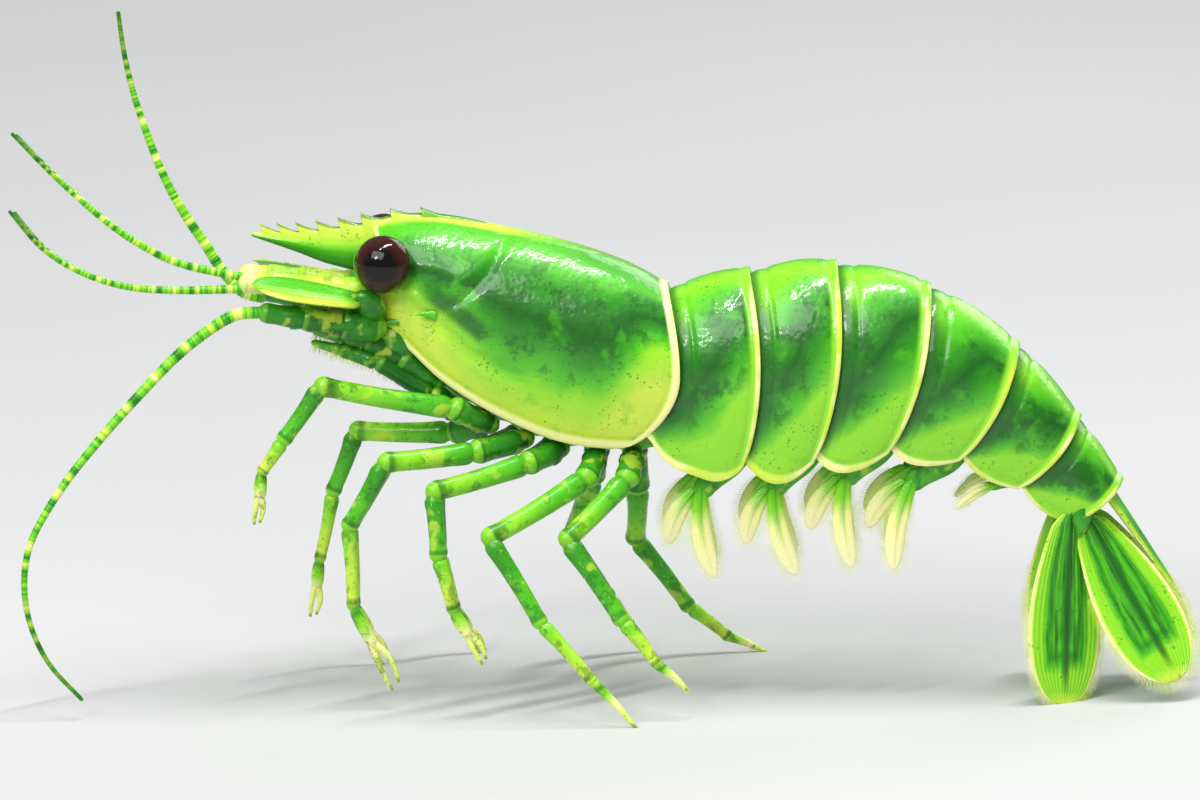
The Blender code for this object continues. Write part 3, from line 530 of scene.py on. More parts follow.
class Finish:
    """The node chain of one material.

    A tone is the name of one of the colour settings. A share is a number, a socket or (socket, low, high),
    which stands for 0 up to low and 1 from high on.
    """

    def __init__(self, colours, name, roughness, coat=0.0, depth=0.0):
        self.colours = colours
        self.material = bpy.data.materials.new(name)
        self.material.use_nodes = True
        self.tree = self.material.node_tree
        self.shader = self.tree.nodes["Principled BSDF"]
        self.set({"Roughness": roughness, "Coat Weight": coat})
        self.set({"Coat Roughness": 0.08, "Specular IOR Level": 0.34})
        if depth:
            scatter = (0.6, 1.0, 0.25)
            self.set({"Subsurface Weight": depth, "Subsurface Radius": scatter, "Subsurface Scale": 0.0012})
        self.object = self.node("ShaderNodeTexCoord").outputs["Object"]

    def set(self, looks):
        for socket, value in looks.items():
            self.feed(self.shader.inputs[socket], value)

    def feed(self, socket, value):
        if isinstance(value, str):
            value = (*getattr(self.colours, value), 1.0)
        elif isinstance(value, tuple) and isinstance(value[0], bpy.types.NodeSocket):
            value = self.rise(*value)
        if isinstance(value, bpy.types.NodeSocket):
            self.tree.links.new(value, socket)
        else:
            socket.default_value = value

    def node(self, kind, inputs=None, **settings):
        made = self.tree.nodes.new(kind)
        for key, value in settings.items():
            setattr(made, key, value)
        for key, value in (inputs or {}).items():
            self.feed(made.inputs[key], value)
        return made

    def math(self, operation, first, *others):
        """An operation on one share, or from the first through all the others."""
        for other in others or (0.0,):
            first = self.node("ShaderNodeMath", {0: first, 1: other}, operation=operation).outputs[0]
        return first

    def product(self, *shares):
        return self.math("MULTIPLY", *shares) if len(shares) > 1 else shares[0]

    def scaled(self, value, factor, shift=0.0):
        """The value times a factor, plus a shift."""
        inputs = {0: value, 1: factor, 2: shift}
        return self.node("ShaderNodeMath", inputs, operation="MULTIPLY_ADD").outputs[0]

    def waves(self, value, factor, operation="SINE"):
        return self.math(operation, self.scaled(value, factor))

    def split(self, vector):
        return tuple(self.node("ShaderNodeSeparateXYZ", {0: vector}).outputs)

    def place(self, *axes):
        return self.node("ShaderNodeCombineXYZ", dict(enumerate(axes))).outputs[0]

    def uv(self):
        """The two coordinates of the piece's own map."""
        return self.split(self.node("ShaderNodeUVMap", uv_map="UVMap").outputs[0])[:2]

    def round(self):
        """Cosine of the turn that u makes round a piece, and v along it."""
        u, v = self.uv()
        return self.waves(u, 2 * math.pi, "COSINE"), v

    def over_back(self):
        """0 along the back and 1 at the lower edges of a shell, and v along it."""
        u, v = self.uv()
        return self.math("ABSOLUTE", self.scaled(u, 2.0, -1.0)), v

    def rise(self, value, low, high):
        """0 up to low, 1 from high on. Low may be the larger of the two."""
        inputs = {"Value": value, "From Min": low, "From Max": high}
        return self.node("ShaderNodeMapRange", inputs, interpolation_type="SMOOTHSTEP").outputs[0]

    def noise(self, scale, detail=3.0, vector=None, roughness=0.55):
        inputs = {"Vector": vector or self.object, "Scale": scale, "Detail": detail, "Roughness": roughness}
        return self.node("ShaderNodeTexNoise", inputs).outputs[0]

    def cells(self, scale, feature="F1"):
        inputs = {"Vector": self.object, "Scale": scale}
        return self.node("ShaderNodeTexVoronoi", inputs, feature=feature).outputs[0]

    def wander(self, value, scale, spread):
        """The value, moved unevenly by up to half the spread each way."""
        return self.math("ADD", value, self.scaled(self.noise(scale), spread, -spread / 2))

    def mix(self, share, first, second):
        made = self.node("ShaderNodeMix", data_type="RGBA", blend_type="MIX")
        for number, value in ((0, share), (6, first), (7, second)):
            self.feed(made.inputs[number], value)
        return made.outputs[2]

    def bands(self, value, *stops):
        """Makes the colour a row of tones, each at its place along a value."""
        made = self.node("ShaderNodeValToRGB", {0: value})
        band = made.color_ramp
        for place, _ in stops[2:]:
            band.elements.new(place)
        for element, (place, tone) in zip(sorted(band.elements, key=lambda e: e.position), sorted(stops)):
            element.position = place
            element.color = (*getattr(self.colours, tone), 1.0)
        self.colour = made.outputs[0]

    def stain(self, tone, *shares):
        """Lays a tone over the colour, as strongly as the product of the shares."""
        self.colour = self.mix(self.product(*shares), self.colour, tone)

    def speckle(self, amount=0.55):
        """Tiny pigment spots over the colour."""
        size = self.scaled(self.noise(900.0, 1.0), 0.7, -0.16)
        spots = self.math("SUBTRACT", size, self.cells(1500.0))
        self.stain("deep", (spots, -0.06, 0.04), (self.noise(220.0, 2.0), 0.42, 0.62), amount)

    def shell(self, reach, spread, *stops):
        """Bands from the back to the lower edge, broken up by blotches of darker and lighter green."""
        self.bands(self.wander(reach, 95.0, spread), *stops)
        flank = self.product((reach, 0.16, 0.32), (reach, 0.76, 0.6))
        self.stain("deep", (self.noise(260.0, 4.0, roughness=0.7), 0.50, 0.60), flank, 0.75)
        self.stain("bright", (self.noise(180.0, 3.0, roughness=0.6), 0.56, 0.68), 0.45)
        self.speckle()

    def stroke(self, middle, tilt, half_width, half_length):
        """1 along a straight stroke in side view, given in millimetres and degrees."""
        inputs = {0: self.object, 1: middle * MM}
        place = self.node("ShaderNodeVectorMath", inputs, operation="SUBTRACT").outputs[0]
        inputs = {"Vector": place, "Rotation": (0.0, math.radians(tilt), 0.0)}
        x, _, z = self.split(self.node("ShaderNodeMapping", inputs).outputs[0])
        thin = (self.math("ABSOLUTE", z), half_width * MM, 0.25 * half_width * MM)
        return self.product(thin, (self.math("ABSOLUTE", x), half_length * MM, 0.5 * half_length * MM))

    def relief(self, height, depth, strength, under=None):
        """Bump of a depth in millimetres."""
        inputs = {"Height": height, "Distance": depth * MM, "Strength": strength}
        if under is not None:
            inputs["Normal"] = under
        return self.node("ShaderNodeBump", inputs).outputs[0]

    def pitted(self, strength=1.0):
        """The bump of a shell: pits with a finer grain over them."""
        pits = self.relief(self.cells(1300.0, "SMOOTH_F1"), 0.10, 0.55 * strength)
        return self.relief(self.noise(2600.0, 2.0), 0.03, 0.5 * strength, pits)

    def gloss(self, low=0.3, high=0.46):
        inputs = {"Value": self.noise(420.0), "To Min": low, "To Max": high}
        return self.node("ShaderNodeMapRange", inputs).outputs[0]

    def done(self, bump=None, gloss=None):
        looks = {"Base Color": self.colour, "Roughness": gloss, "Normal": bump, "Coat Normal": bump}
        self.set({socket: value for socket, value in looks.items() if value is not None})
        return self.material


def carapace_finish(colours):
    finish = Finish(colours, "carapace_shell", 0.3, coat=0.45, depth=0.12)
    reach, v = finish.over_back()
    behind = finish.product((v, 0.74, 0.94), (reach, 0.2, 0.5), 0.34)
    ahead = finish.product((v, 0.42, 0.05), (reach, 0.35, 0.6), 0.24)
    finish.shell(
        finish.math("ADD", reach, finish.math("ADD", behind, ahead)), 0.24,
        (0.0, "lime"), (0.10, "bright"), (0.22, "bright"), (0.31, "leaf"), (0.46, "deep"), (0.58, "leaf"),
        (0.68, "bright"), (0.76, "lime"), (0.97, "yellow"),
    )
    finish.stain("yellow", (reach, 0.10, 0.04), (v, 0.62, 0.40), 0.85)
    finish.stain("leaf", (reach, 0.24, 0.10), (v, 0.55, 0.75), 0.6)
    # Painted shade: a dark streak behind the eye, standing for the shade of the groove there.
    finish.stain("deep", finish.stroke(Vector((-21.6, 0.0, 59.8)), -36.0, 2.3, 7.2), 0.85)
    finish.stain("pale", finish.math("MAXIMUM", (v, 0.966, 0.980), (reach, 0.945, 0.968), (v, 0.016, 0.006)))
    return finish.done(finish.pitted(), finish.gloss())


def plate_finish(colours):
    finish = Finish(colours, "abdomen_shell", 0.3, coat=0.45, depth=0.12)
    reach, v = finish.over_back()
    lean = finish.product(finish.scaled(v, 0.52, -0.27), (reach, 0.1, 0.35))
    finish.shell(
        finish.math("ADD", reach, lean), 0.2,
        (0.0, "bright"), (0.10, "lime"), (0.22, "bright"), (0.32, "leaf"), (0.46, "deep"), (0.58, "leaf"),
        (0.68, "bright"), (0.77, "lime"), (1.0, "lime"),
    )
    # Painted shade: deep green over the front of each plate's flanks, where it lies under the plate in front.
    finish.stain("deep", (v, 0.42, 0.18), (reach, 0.2, 0.34), (reach, 0.94, 0.7), 0.75)
    finish.stain("lime", (v, 0.86, 0.92), 0.8)
    rear = finish.product((v, 0.935, 0.955), (reach, 0.14, 0.32))
    tone = finish.mix((finish.noise(170.0, 2.0), 0.4, 0.62), "yellow", "pale")
    finish.stain(tone, finish.math("MAXIMUM", rear, (reach, 0.955, 0.970)))
    # Painted shadow: a near-black band at the very front of each plate, where it comes out from under the rim
    # of the plate in front.
    finish.stain("deep", (v, 0.24, 0.15), (reach, 1.0, 0.9), 0.7)
    return finish.done(finish.pitted(), finish.gloss())


def rostrum_finish(colours):
    finish = Finish(colours, "rostrum_blade", 0.28, coat=0.35, depth=0.12)
    u, v = finish.uv()
    height = finish.waves(u, 2 * math.pi)
    finish.bands(
        finish.wander(finish.scaled(height, 0.5, 0.5), 300.0, 0.2),
        (0.0, "deep"), (0.25, "leaf"), (0.42, "bright"), (0.55, "lime"), (0.78, "yellow"),
    )
    finish.stain("deep", (height, 0.86, 0.97), (v, 0.02, 0.08), 0.8)
    finish.stain("leaf", (finish.wander(v, 260.0, 0.1), 0.5, 0.66), 0.8)
    finish.speckle()
    return finish.done(finish.pitted(0.7), finish.gloss())


def skin_finish(colours):
    """Soft skin between the shells: translucent, wrinkled, dull green."""
    finish = Finish(colours, "soft_skin", 0.45, coat=0.15, depth=0.3)
    finish.colour = finish.mix((finish.noise(240.0, 4.0), 0.4, 0.62), "leaf", "bright")
    finish.stain("lime", (finish.split(finish.object)[2], 0.046, 0.036), 0.35)
    finish.speckle(0.4)
    return finish.done(finish.relief(finish.noise(900.0, 4.0), 0.25, 0.6))


def limb_finish(name, colours, stops, joint=0.6):
    """Jointed limbs: bands along the limb, paler at the joints. v counts the segments from the root."""
    finish = Finish(colours, name, 0.3, coat=0.25, depth=0.15)
    _, v = finish.uv()
    finish.bands(finish.wander(v, 210.0, 0.12), *stops)
    finish.stain("deep", (finish.noise(330.0, 4.0, roughness=0.7), 0.52, 0.62), 0.55)
    finish.stain("yellow", (finish.noise(300.0, 2.0, roughness=0.5), 0.57, 0.66), 0.5)
    share = finish.math("FRACT", finish.scaled(v, 5.0))
    finish.stain("deep", (share, 0.87, 0.93), (share, 0.985, 0.95), joint)
    finish.stain("lime", finish.math("MAXIMUM", (share, 0.07, 0.01), (share, 0.96, 0.99)), joint)
    finish.speckle(0.5)
    return finish.done(finish.pitted(0.6), finish.gloss(0.32))


def feeler_finish(colours):
    """Rings of light and dark in uneven bands."""
    finish = Finish(colours, "feeler_rings", 0.38, coat=0.15)
    _, v = finish.uv()
    finish.bands(
        finish.noise(1.0, 2.0, finish.place(finish.scaled(v, 34.0))),
        (0.32, "deep"), (0.41, "leaf"), (0.47, "bright"), (0.52, "lime"), (0.58, "yellow"), (0.66, "pale"),
    )
    finish.stain("deep", (v, 0.62, 0.98), 0.75)
    return finish.done()


def scale_finish(colours):
    """The broad scale by each feeler: yellow rib, ribs that fan out, pale inner edge."""
    finish = Finish(colours, "antennal_scale", 0.3, coat=0.3, depth=0.25)
    across, v = finish.round()
    finish.bands(finish.wander(across, 240.0, 0.5), (0.0, "bright"), (0.5, "lime"), (1.0, "yellow"))
    finish.stain("yellow", (finish.math("ABSOLUTE", across), 0.86, 0.97), 0.8)
    finish.stain("leaf", (v, 0.2, 0.0), 0.6)
    finish.speckle(0.45)
    return finish.done(finish.relief(finish.waves(across, 46.0), 0.05, 0.5), finish.gloss(0.22, 0.34))


def paddle_finish(colours):
    finish = Finish(colours, "swimmeret_paddle", 0.36, coat=0.2, depth=0.3)
    across, v = finish.round()
    stops = (0.0, "bright"), (0.22, "lime"), (0.42, "pale"), (1.0, "cream")
    finish.bands(finish.wander(v, 300.0, 0.2), *stops)
    finish.stain("bright", (finish.math("ABSOLUTE", across), 0.5, 0.1), (v, 0.7, 0.3), 0.55)
    return finish.done(finish.relief(finish.waves(v, 150.0), 0.03, 0.4))


def fan_finish(colours):
    """Tail blades: dark mid rib, green web with fine rays, lime and yellow towards the margin."""
    finish = Finish(colours, "tail_blade", 0.28, coat=0.35, depth=0.18)
    across, v = finish.round()
    off = finish.math("ABSOLUTE", across)
    edge = finish.math("MAXIMUM", finish.math("POWER", off, 1.6), (v, 0.55, 1.08))
    finish.bands(
        finish.wander(edge, 230.0, 0.26), (0.0, "leaf"), (0.14, "bright"), (0.28, "leaf"), (0.40, "bright"),
        (0.52, "lime"), (0.78, "lime"), (0.92, "yellow"),
    )
    streaks = finish.place(finish.scaled(across, 5.0), finish.scaled(v, 1.6))
    finish.stain("deep", (finish.noise(1.6, 3.0, streaks), 0.48, 0.62), (edge, 0.55, 0.25), 0.75)
    finish.stain("deep", (off, 0.15, 0.05), (v, 0.96, 0.8), 0.85)
    finish.stain("pale", (off, 0.90, 0.94), (v, 0.12, 0.3))
    finish.speckle()
    rays = finish.relief(finish.waves(across, 52.0), 0.08, 0.5, finish.pitted(0.6))
    return finish.done(rays, finish.gloss())


def telson_finish(colours):
    finish = Finish(colours, "telson_shell", 0.28, coat=0.35, depth=0.15)
    across, v = finish.round()
    off = finish.math("ABSOLUTE", across)
    stops = (0.0, "lime"), (0.2, "bright"), (0.45, "leaf"), (0.75, "bright"), (1.0, "yellow")
    finish.bands(finish.wander(v, 220.0, 0.3), *stops)
    finish.stain("deep", (off, 0.3, 0.08), 0.8)
    finish.stain("yellow", (off, 0.78, 0.97), 0.8)
    finish.speckle()
    return finish.done(finish.pitted(0.7), finish.gloss())


def eye_finish(colours):
    """Dark brown cornea with a black middle and very fine facets."""
    finish = Finish(colours, "eye_cornea", 0.06, coat=0.25)
    finish.set({"Specular IOR Level": 0.22})
    x, y, z = finish.split(finish.object)
    place = finish.place(x, finish.math("ABSOLUTE", y), z)
    pole = Vector((EYE_CENTRE.x - 0.4, -EYE_CENTRE.y + 4.2, EYE_CENTRE.z + 0.4)) * MM
    off = finish.node("ShaderNodeVectorMath", {0: place, 1: pole}, operation="DISTANCE").outputs["Value"]
    finish.bands(
        finish.scaled(finish.wander(off, 500.0, 0.0008), 100.0),
        (0.10, "black"), (0.22, "black"), (0.30, "brown"), (0.42, "amber"), (0.60, "brown"),
    )
    return finish.done(finish.relief(finish.cells(4200.0), 0.012, 0.35))


def hair_finish(colours):
    finish = Finish(colours, "bristle", 0.5)
    finish.colour = finish.mix((finish.noise(260.0), 0.4, 0.65), "yellow", "cream")
    return finish.done()


# Shell pieces --------------------


def arch(u, tuck):
    """Sideways and upward shares of a shell section at u, from -1 at one lower edge to 1 at the other."""
    reach = abs(u)
    if reach < SHOULDER:
        turn = reach / SHOULDER * math.pi / 2
        side, up = math.sin(turn), math.cos(turn)
    else:
        down = (reach - SHOULDER) / (1 - SHOULDER)
        side, up = 1 - tuck * down**2, -down
    return math.copysign(side, u), up


def far_from(x, z, route):
    """Distance from a place in side view to a route, and how far along it the nearest point lies, 0 to 1."""
    best, place = 1e9, 0.0
    for i, (a, b) in enumerate(zip(route, route[1:])):
        run, rise = b[0] - a[0], b[1] - a[1]
        share = ((x - a[0]) * run + (z - a[1]) * rise) / (run * run + rise * rise)
        share = min(1.0, max(0.0, share))
        away = math.hypot(x - a[0] - run * share, z - a[1] - rise * share)
        if away < best:
            best, place = away, (i + share) / (len(route) - 1)
    return best, place


def edge_relief(away, height=0.16):
    """A raised rim along an edge, with a groove behind it."""
    return height * bump_at(away, 0.35, 0.5) - 0.8 * height * bump_at(away, 1.35, 0.4)


def carapace_relief(x, y, z, low, rear, front):
    relief = edge_relief(min(low, rear)) + 0.6 * edge_relief(front)
    for depth, width, route in FURROWS:
        away, place = far_from(x, z, route)
        relief += depth * math.exp(-((away / width) ** 2)) * math.sin(math.pi * (0.12 + 0.76 * place))
    crest = ease(4.0, -12.0, x)
    relief += 0.2 * crest * bump_at(y, 0.0, 0.8)
    relief -= 0.28 * ease(-8.0, -14.0, x) * (bump_at(y, 1.9, 0.5) + bump_at(y, -1.9, 0.5))
    relief += 0.10 * noise.noise(Vector((x, y, z)) * 0.22)
    relief += 0.035 * noise.noise(Vector((x, y, z)) * 0.9)
    return relief


def carapace_rows(across, along):
    rows = []
    for j in range(along + 1):
        v = j / along
        row = []
        for i in range(across + 1):
            u = 2 * i / across - 1
            side, up = arch(u, CARAPACE_TUCK)
            front = CARAPACE_FRONT + ORBIT_DEPTH * bump_at(up, ORBIT_SHARE, ORBIT_SPREAD)
            rear = REAR_X - (REAR_CURVE if up > 0 else REAR_CORNER) * up**2
            rear -= CORNER_ROUNDING * (1 - math.sqrt(max(0.0, 1 - max(0.0, -up) ** 6)))
            x = front + (rear - front) * v
            top, bottom, half_width = smooth(CARAPACE, x)
            half_height = (top - bottom) / 2
            y, z = side * half_width, (top + bottom) / 2 + up * half_height
            low = (1 - abs(u)) / (1 - SHOULDER) * half_height
            out = Vector((0, side / half_width, max(up, -0.25) / half_height)).normalized()
            relief = carapace_relief(x, y, z, low, rear - x, x - front)
            row.append(Vector((x, y, z)) + out * relief)
        rows.append(row)
    return rows


def tooth_height(x):
    """How far the teeth of the rostrum rise above its crest."""
    tooth = 0.0
    for tip in TOOTH_TIPS:
        height = FREE_TOOTH if tip < CARAPACE_FRONT else REAR_TOOTH
        if tip <= x <= tip + TOOTH_LENGTH:
            tooth = max(tooth, height * (1 - (x - tip) / TOOTH_LENGTH) ** 1.5)
        elif tip - TOOTH_FACE < x < tip:
            tooth = max(tooth, height * (x - tip + TOOTH_FACE) / TOOTH_FACE)
    return tooth


def rostrum_rows():
    rows, along, around = [], ROSTRUM_RINGS, ROSTRUM_SIDES
    for j in range(along + 1):
        x = ROSTRUM_TIP + (ROSTRUM_ROOT - ROSTRUM_TIP) * j / along
        (crest,), (keel,), (half,) = (smooth(r, x) for r in (ROSTRUM_CREST, ROSTRUM_KEEL, ROSTRUM_HALF_WIDTH))
        tooth = tooth_height(x)
        close = ease(ROSTRUM_TIP - 0.4, ROSTRUM_TIP + 0.9, x) * ease(ROSTRUM_ROOT + 0.2, ROSTRUM_ROOT - 4, x)
        seated = ease(-35.0, -31.0, x)
        row = []
        for c, s in turns(around):
            wide = half * math.copysign(abs(c) ** 0.8, c) * (1 + 1.9 * seated * max(0.0, -s + 0.25))
            wide += 0.28 * c * (1 - seated) * bump_at(s, -0.05, 0.2) * close
            rise = tooth * max(0.0, s) ** 3
            z = (crest + keel) / 2 + s * (crest - keel) / 2 + rise
            row.append(Vector((x - 0.75 * rise, wide * (0.15 + 0.85 * close), z)))
        rows.append(row)
    front, rear = centre(rows[0]) - X_AXIS * 0.2, centre(rows[-1]) - Z_AXIS * 0.4
    return [[front] * around, *rows, [rear] * around]


def on_shell(x, z):
    """Half width of the carapace at a place in side view."""
    top, bottom, half_width = smooth(CARAPACE, x)
    up = (z - (top + bottom) / 2) / ((top - bottom) / 2)
    return half_width * (math.sqrt(max(0.0, 1 - up**2)) if up > 0 else 1 - CARAPACE_TUCK * up**2)


def spine(name, root, tip, radius, bend=0.12):
    """A pointed spine that curves a little upwards, of the colour of one place on the map."""
    root, tip = Vector(root), Vector(tip)
    lift = Z_AXIS * bend * (tip - root).length * 0.5
    shares = [i / 12 for i in range(13)]
    points = [root.lerp(tip, t) + lift * math.sin(math.pi * t) for t in shares]
    radii = [0.0, radius, *(radius * (1 - t) ** 1.15 for t in shares[1:])]
    points.insert(1, points[0] + (points[1] - points[0]) * 0.02)
    return stained(tube(name, points, radii, 16), (0.17, 0.5))


def stained(made, place):
    """Gives the whole piece the colour of one place on the map."""
    corners = made.data.uv_layers.active.uv
    corners.foreach_set("vector", np.tile(np.array(place, dtype=np.float32), len(corners)))
    return made


def make_carapace(sizes, colours):
    shell = grown("carapace_shell", carapace_rows(CARAPACE_COLUMNS, CARAPACE_ROWS), closed=False)
    walled(shell, sizes.shell_thickness / MM, CARAPACE_RIM)
    parts = [shell]
    for i, ((x, z), reach, radius) in enumerate(SPINES):
        root = Vector((x, 0.45 - on_shell(x, z), z))
        left = spine(f"spine_{i}", root, root + Vector(reach), radius)
        parts += [left, mirrored(left, f"spine_{i}_right")]
    finished(joined("carapace_shell", parts), carapace_finish(colours), "shell", "carapace")
    finished(grown("rostrum_blade", rostrum_rows()), rostrum_finish(colours), "shell", "carapace")


def plate_length(number):
    return math.dist(PLATE_EDGES[number][:2], PLATE_EDGES[number + 1][:2])


def plate_frame(number, t):
    """Middle, half sizes and axes of an abdominal section. Below 0, t carries on under the plate in front."""
    rows = [(i, *edge) for i, edge in enumerate(PLATE_EDGES)]
    x, z, half_height, half_width, lean = smooth(rows, number + max(t, 0.0))
    back, up_axis = slanted(lean)
    middle = Vector((x, 0, z)) + back * plate_length(number) * min(t, 0.0)
    return middle, half_height, half_width, back, up_axis


def plate_rows(number):
    rows, front, along, across = [], PLATE_FRONT, PLATE_ROWS, PLATE_COLUMNS
    for j in range(along + 1):
        t = front + (1 - front) * j / along
        middle, half_height, half_width, back, up_axis = plate_frame(number, t)
        inner = max(0.0, t)
        scale = 1 + PLATE_SWELL[number] * math.sin(math.pi * inner) + PLATE_LIP * inner**2
        scale -= 0.05 * ease(0.06, front, t)
        drop = 1 + FLAP_DROP * (math.sin(math.pi * inner) - 0.5)
        curve = half_height / PLATE_EDGES[0][2] * REAR_CURVE
        row = []
        for i in range(across + 1):
            u = 2 * i / across - 1
            side, up = arch(u, PLATE_TUCK)
            low = (1 - abs(u)) / (1 - SHOULDER) * half_height
            rear = (1 - t) * plate_length(number)
            round_off = 0.07 * ease(-0.62, -1.0, up) * (abs(2 * inner - 1) ** 3)
            tall = up * scale * (drop if up < 0 else 1) + round_off
            point = middle + Y_AXIS * side * scale * half_width + up_axis * tall * half_height
            point += back * (PLATE_GAP * (1 - inner) - up**2 * curve)
            if number == 0:
                lobe = ease(-0.3, -0.85, up)
                point -= back * FRONT_LOBE * lobe * ease(0.45, 0.0, t)
                point += up_axis * FRONT_LIFT * lobe * ease(0.22, front, t)
            out = (Y_AXIS * side / half_width + up_axis * max(up, -0.25) / half_height).normalized()
            relief = edge_relief(min(low, rear), 0.17)
            relief -= 0.22 * bump_at(t, 0.17, 0.035) * ease(-0.9, -0.4, up)
            relief -= 0.16 * bump_at(up, -0.12, 0.07) * ease(0.2, 0.4, t) * ease(0.92, 0.75, t)
            relief += KEELS[number] * bump_at(side, 0.0, 0.09) * max(0.0, up) * ease(0.1, 0.35, t)
            relief += 0.07 * noise.noise(point * 0.25) + 0.03 * noise.noise(point * 0.9)
            row.append(point + out * relief)
        rows.append(row)
    return rows


def make_plates(sizes, colours):
    finish = plate_finish(colours)
    for number in range(len(PLATE_EDGES) - 1):
        name = f"plate_shell_{number + 1}"
        shell = grown(name, plate_rows(number), closed=False)
        walled(shell, sizes.shell_thickness / MM, PLATE_RIM)
        finished(shell, finish, "shell", f"abdomen_{number + 1}")


# Soft body --------------------


SKIN_SIDES = 48
HEAD_RINGS, CHEST_RINGS, TAIL_RINGS = 24, 64, 90
CHEST_START, CHEST_END = -26.6, 10.0


def outline(points):
    """A closed ring in a cross section, from the lower middle up one side and down the other."""
    half = through(points, SKIN_SIDES // 2 + 1)
    return half + [Vector((p.x, -p.y, p.z)) for p in reversed(half[1:-1])]


def thorax_ring(x):
    top, edge, half_width = smooth(CARAPACE, x)
    share = min(1.0, max(0.0, (x - BREAST_X[0]) / (BREAST_X[1] - BREAST_X[0])))
    width = BREAST_HALF_WIDTH * (0.6 + 0.4 * math.sin(math.pi * (0.15 + 0.7 * share)))
    ridge = 0.35 * math.cos(2 * math.pi * (x - LEGS["leg_5_left"][1][0][0]) / LEG_SPACING)
    low = edge - BREAST_BELOW - ridge * ease(-26.0, -20.0, x)
    middle = (top + edge) / 2
    points = (
        (0, 0, low + 0.35), (0, 0.45 * width, low), (0, 0.85 * width, edge + 0.2), (0, width, edge + 2.6),
        (0, 0.66 * half_width, edge + 4.6), (0, 0.86 * half_width, middle - 2),
        (0, 0.9 * half_width, middle + 2), (0, 0.62 * half_width, top - 3.4), (0, 0, top - 0.9),
    )
    return [Vector((x, p.y, p.z)) for p in outline(points)]


def head_ring(x):
    half_width, half_height = smooth(HEAD, x)
    return [Vector((x, s * half_width, HEAD_MIDDLE - c * half_height)) for c, s in turns(SKIN_SIDES)]


def abdomen_ring(station):
    number = min(int(station), len(PLATE_EDGES) - 2)
    middle, half_height, half_width, back, up_axis = plate_frame(number, station - number)
    bar = 0.05 * math.cos(2 * math.pi * (station - 0.85))
    points = (
        (0, 0, -0.80 - bar), (0, 0.4, -0.82 - bar), (0, 0.70, -0.84), (0, 0.84, -0.74), (0, 0.90, -0.45),
        (0, 0.93, 0.0), (0, 0.86, 0.42), (0, 0.56, 0.78), (0, 0, 0.935),
    )
    curve = half_height / PLATE_EDGES[0][2] * REAR_CURVE
    ring = []
    for p in outline(points):
        point = middle + Y_AXIS * p.y * half_width + up_axis * p.z * half_height
        ring.append(point - back * min(1.0, p.z**2) * curve)
    return ring


def skin_rows():
    rows = []
    for i in range(HEAD_RINGS):
        x = HEAD[0][0] + (CHEST_START - HEAD[0][0]) * i / HEAD_RINGS
        share = ease(-33.5, -27.0, x)
        rows.append([a.lerp(b, share) for a, b in zip(head_ring(x), thorax_ring(x))])
    for i in range(CHEST_RINGS + 1):
        rows.append(thorax_ring(CHEST_START + (CHEST_END - CHEST_START) * i / CHEST_RINGS))
    rows += [abdomen_ring(0.02 + 6.1 * i / TAIL_RINGS) for i in range(TAIL_RINGS + 1)]
    nose, end = Vector((-38.1, 0, HEAD_MIDDLE)), centre(rows[-1])
    return [[nose] * SKIN_SIDES, *rows, [end] * SKIN_SIDES]


def make_flesh(sizes, colours):
    finished(grown("soft_skin", skin_rows()), skin_finish(colours), "flesh", "breast", "head")


# Eyes --------------------


STALK_TONES = ((0.0, "leaf"), (0.5, "bright"), (0.75, "lime"), (0.9, "leaf"), (1.0, "deep"))


def make_eyes(sizes, colours):
    """Each eye is a ball, slightly flattened, and sits in the cup at the end of its stalk."""
    cornea, stalk_skin = eye_finish(colours), limb_finish("eye_stalk", colours, STALK_TONES, 0.0)
    for side, turn in (("left", 1), ("right", -1)):
        middle = Vector((EYE_CENTRE.x, EYE_CENTRE.y * turn, EYE_CENTRE.z)) * MM
        bpy.ops.object.select_all(action="DESELECT")
        bpy.ops.mesh.primitive_uv_sphere_add(
            segments=96, ring_count=64, radius=sizes.eye_radius, location=middle, rotation=(math.pi / 2, 0, 0)
        )
        eye = bpy.context.active_object
        eye.name = eye.data.name = f"eye_cornea_{side}"
        bpy.ops.object.transform_apply(location=True, rotation=True, scale=True)
        bpy.ops.object.mode_set(mode="EDIT")
        bpy.ops.mesh.select_all(action="SELECT")
        bpy.ops.transform.resize(value=EYE_SHAPE, center_override=middle)
        bpy.ops.mesh.normals_make_consistent(inside=False)
        bpy.ops.object.mode_set(mode="OBJECT")
        finished(eye, cornea, "eye", f"eye_{side}")
    root, waist, neck = vectors(EYESTALK)
    ahead = (EYE_CENTRE - neck).normalized()
    ball = sizes.eye_radius / MM
    points, radii = [root, root.lerp(waist, 0.03), root.lerp(waist, 0.5), waist], [0.0, 1.6, 1.9, 2.15]
    for i in range(CUP_STEPS + 1):
        back = CUP_START - (CUP_START - EYE_CUP) * i / CUP_STEPS
        cup = math.sqrt(max(0.0, ball**2 - back**2)) + 0.12
        points.append(EYE_CENTRE - ahead * back)
        radii.append((cup**4 + 2.3**4) ** 0.25 if i < 8 else cup)
    for further, share in ((0.12, 0.985), (0.20, 0.95), (0.21, 0.5), (0.215, 0.0)):
        points.append(EYE_CENTRE - ahead * (EYE_CUP - further))
        radii.append(cup * share)
    stalk = tube("eyestalk_cup_left", points, radii, 48, across=Z_AXIS)
    pair("eyestalk_cup", [stalk], stalk_skin, "flesh", "eyestalk")


# Limbs --------------------


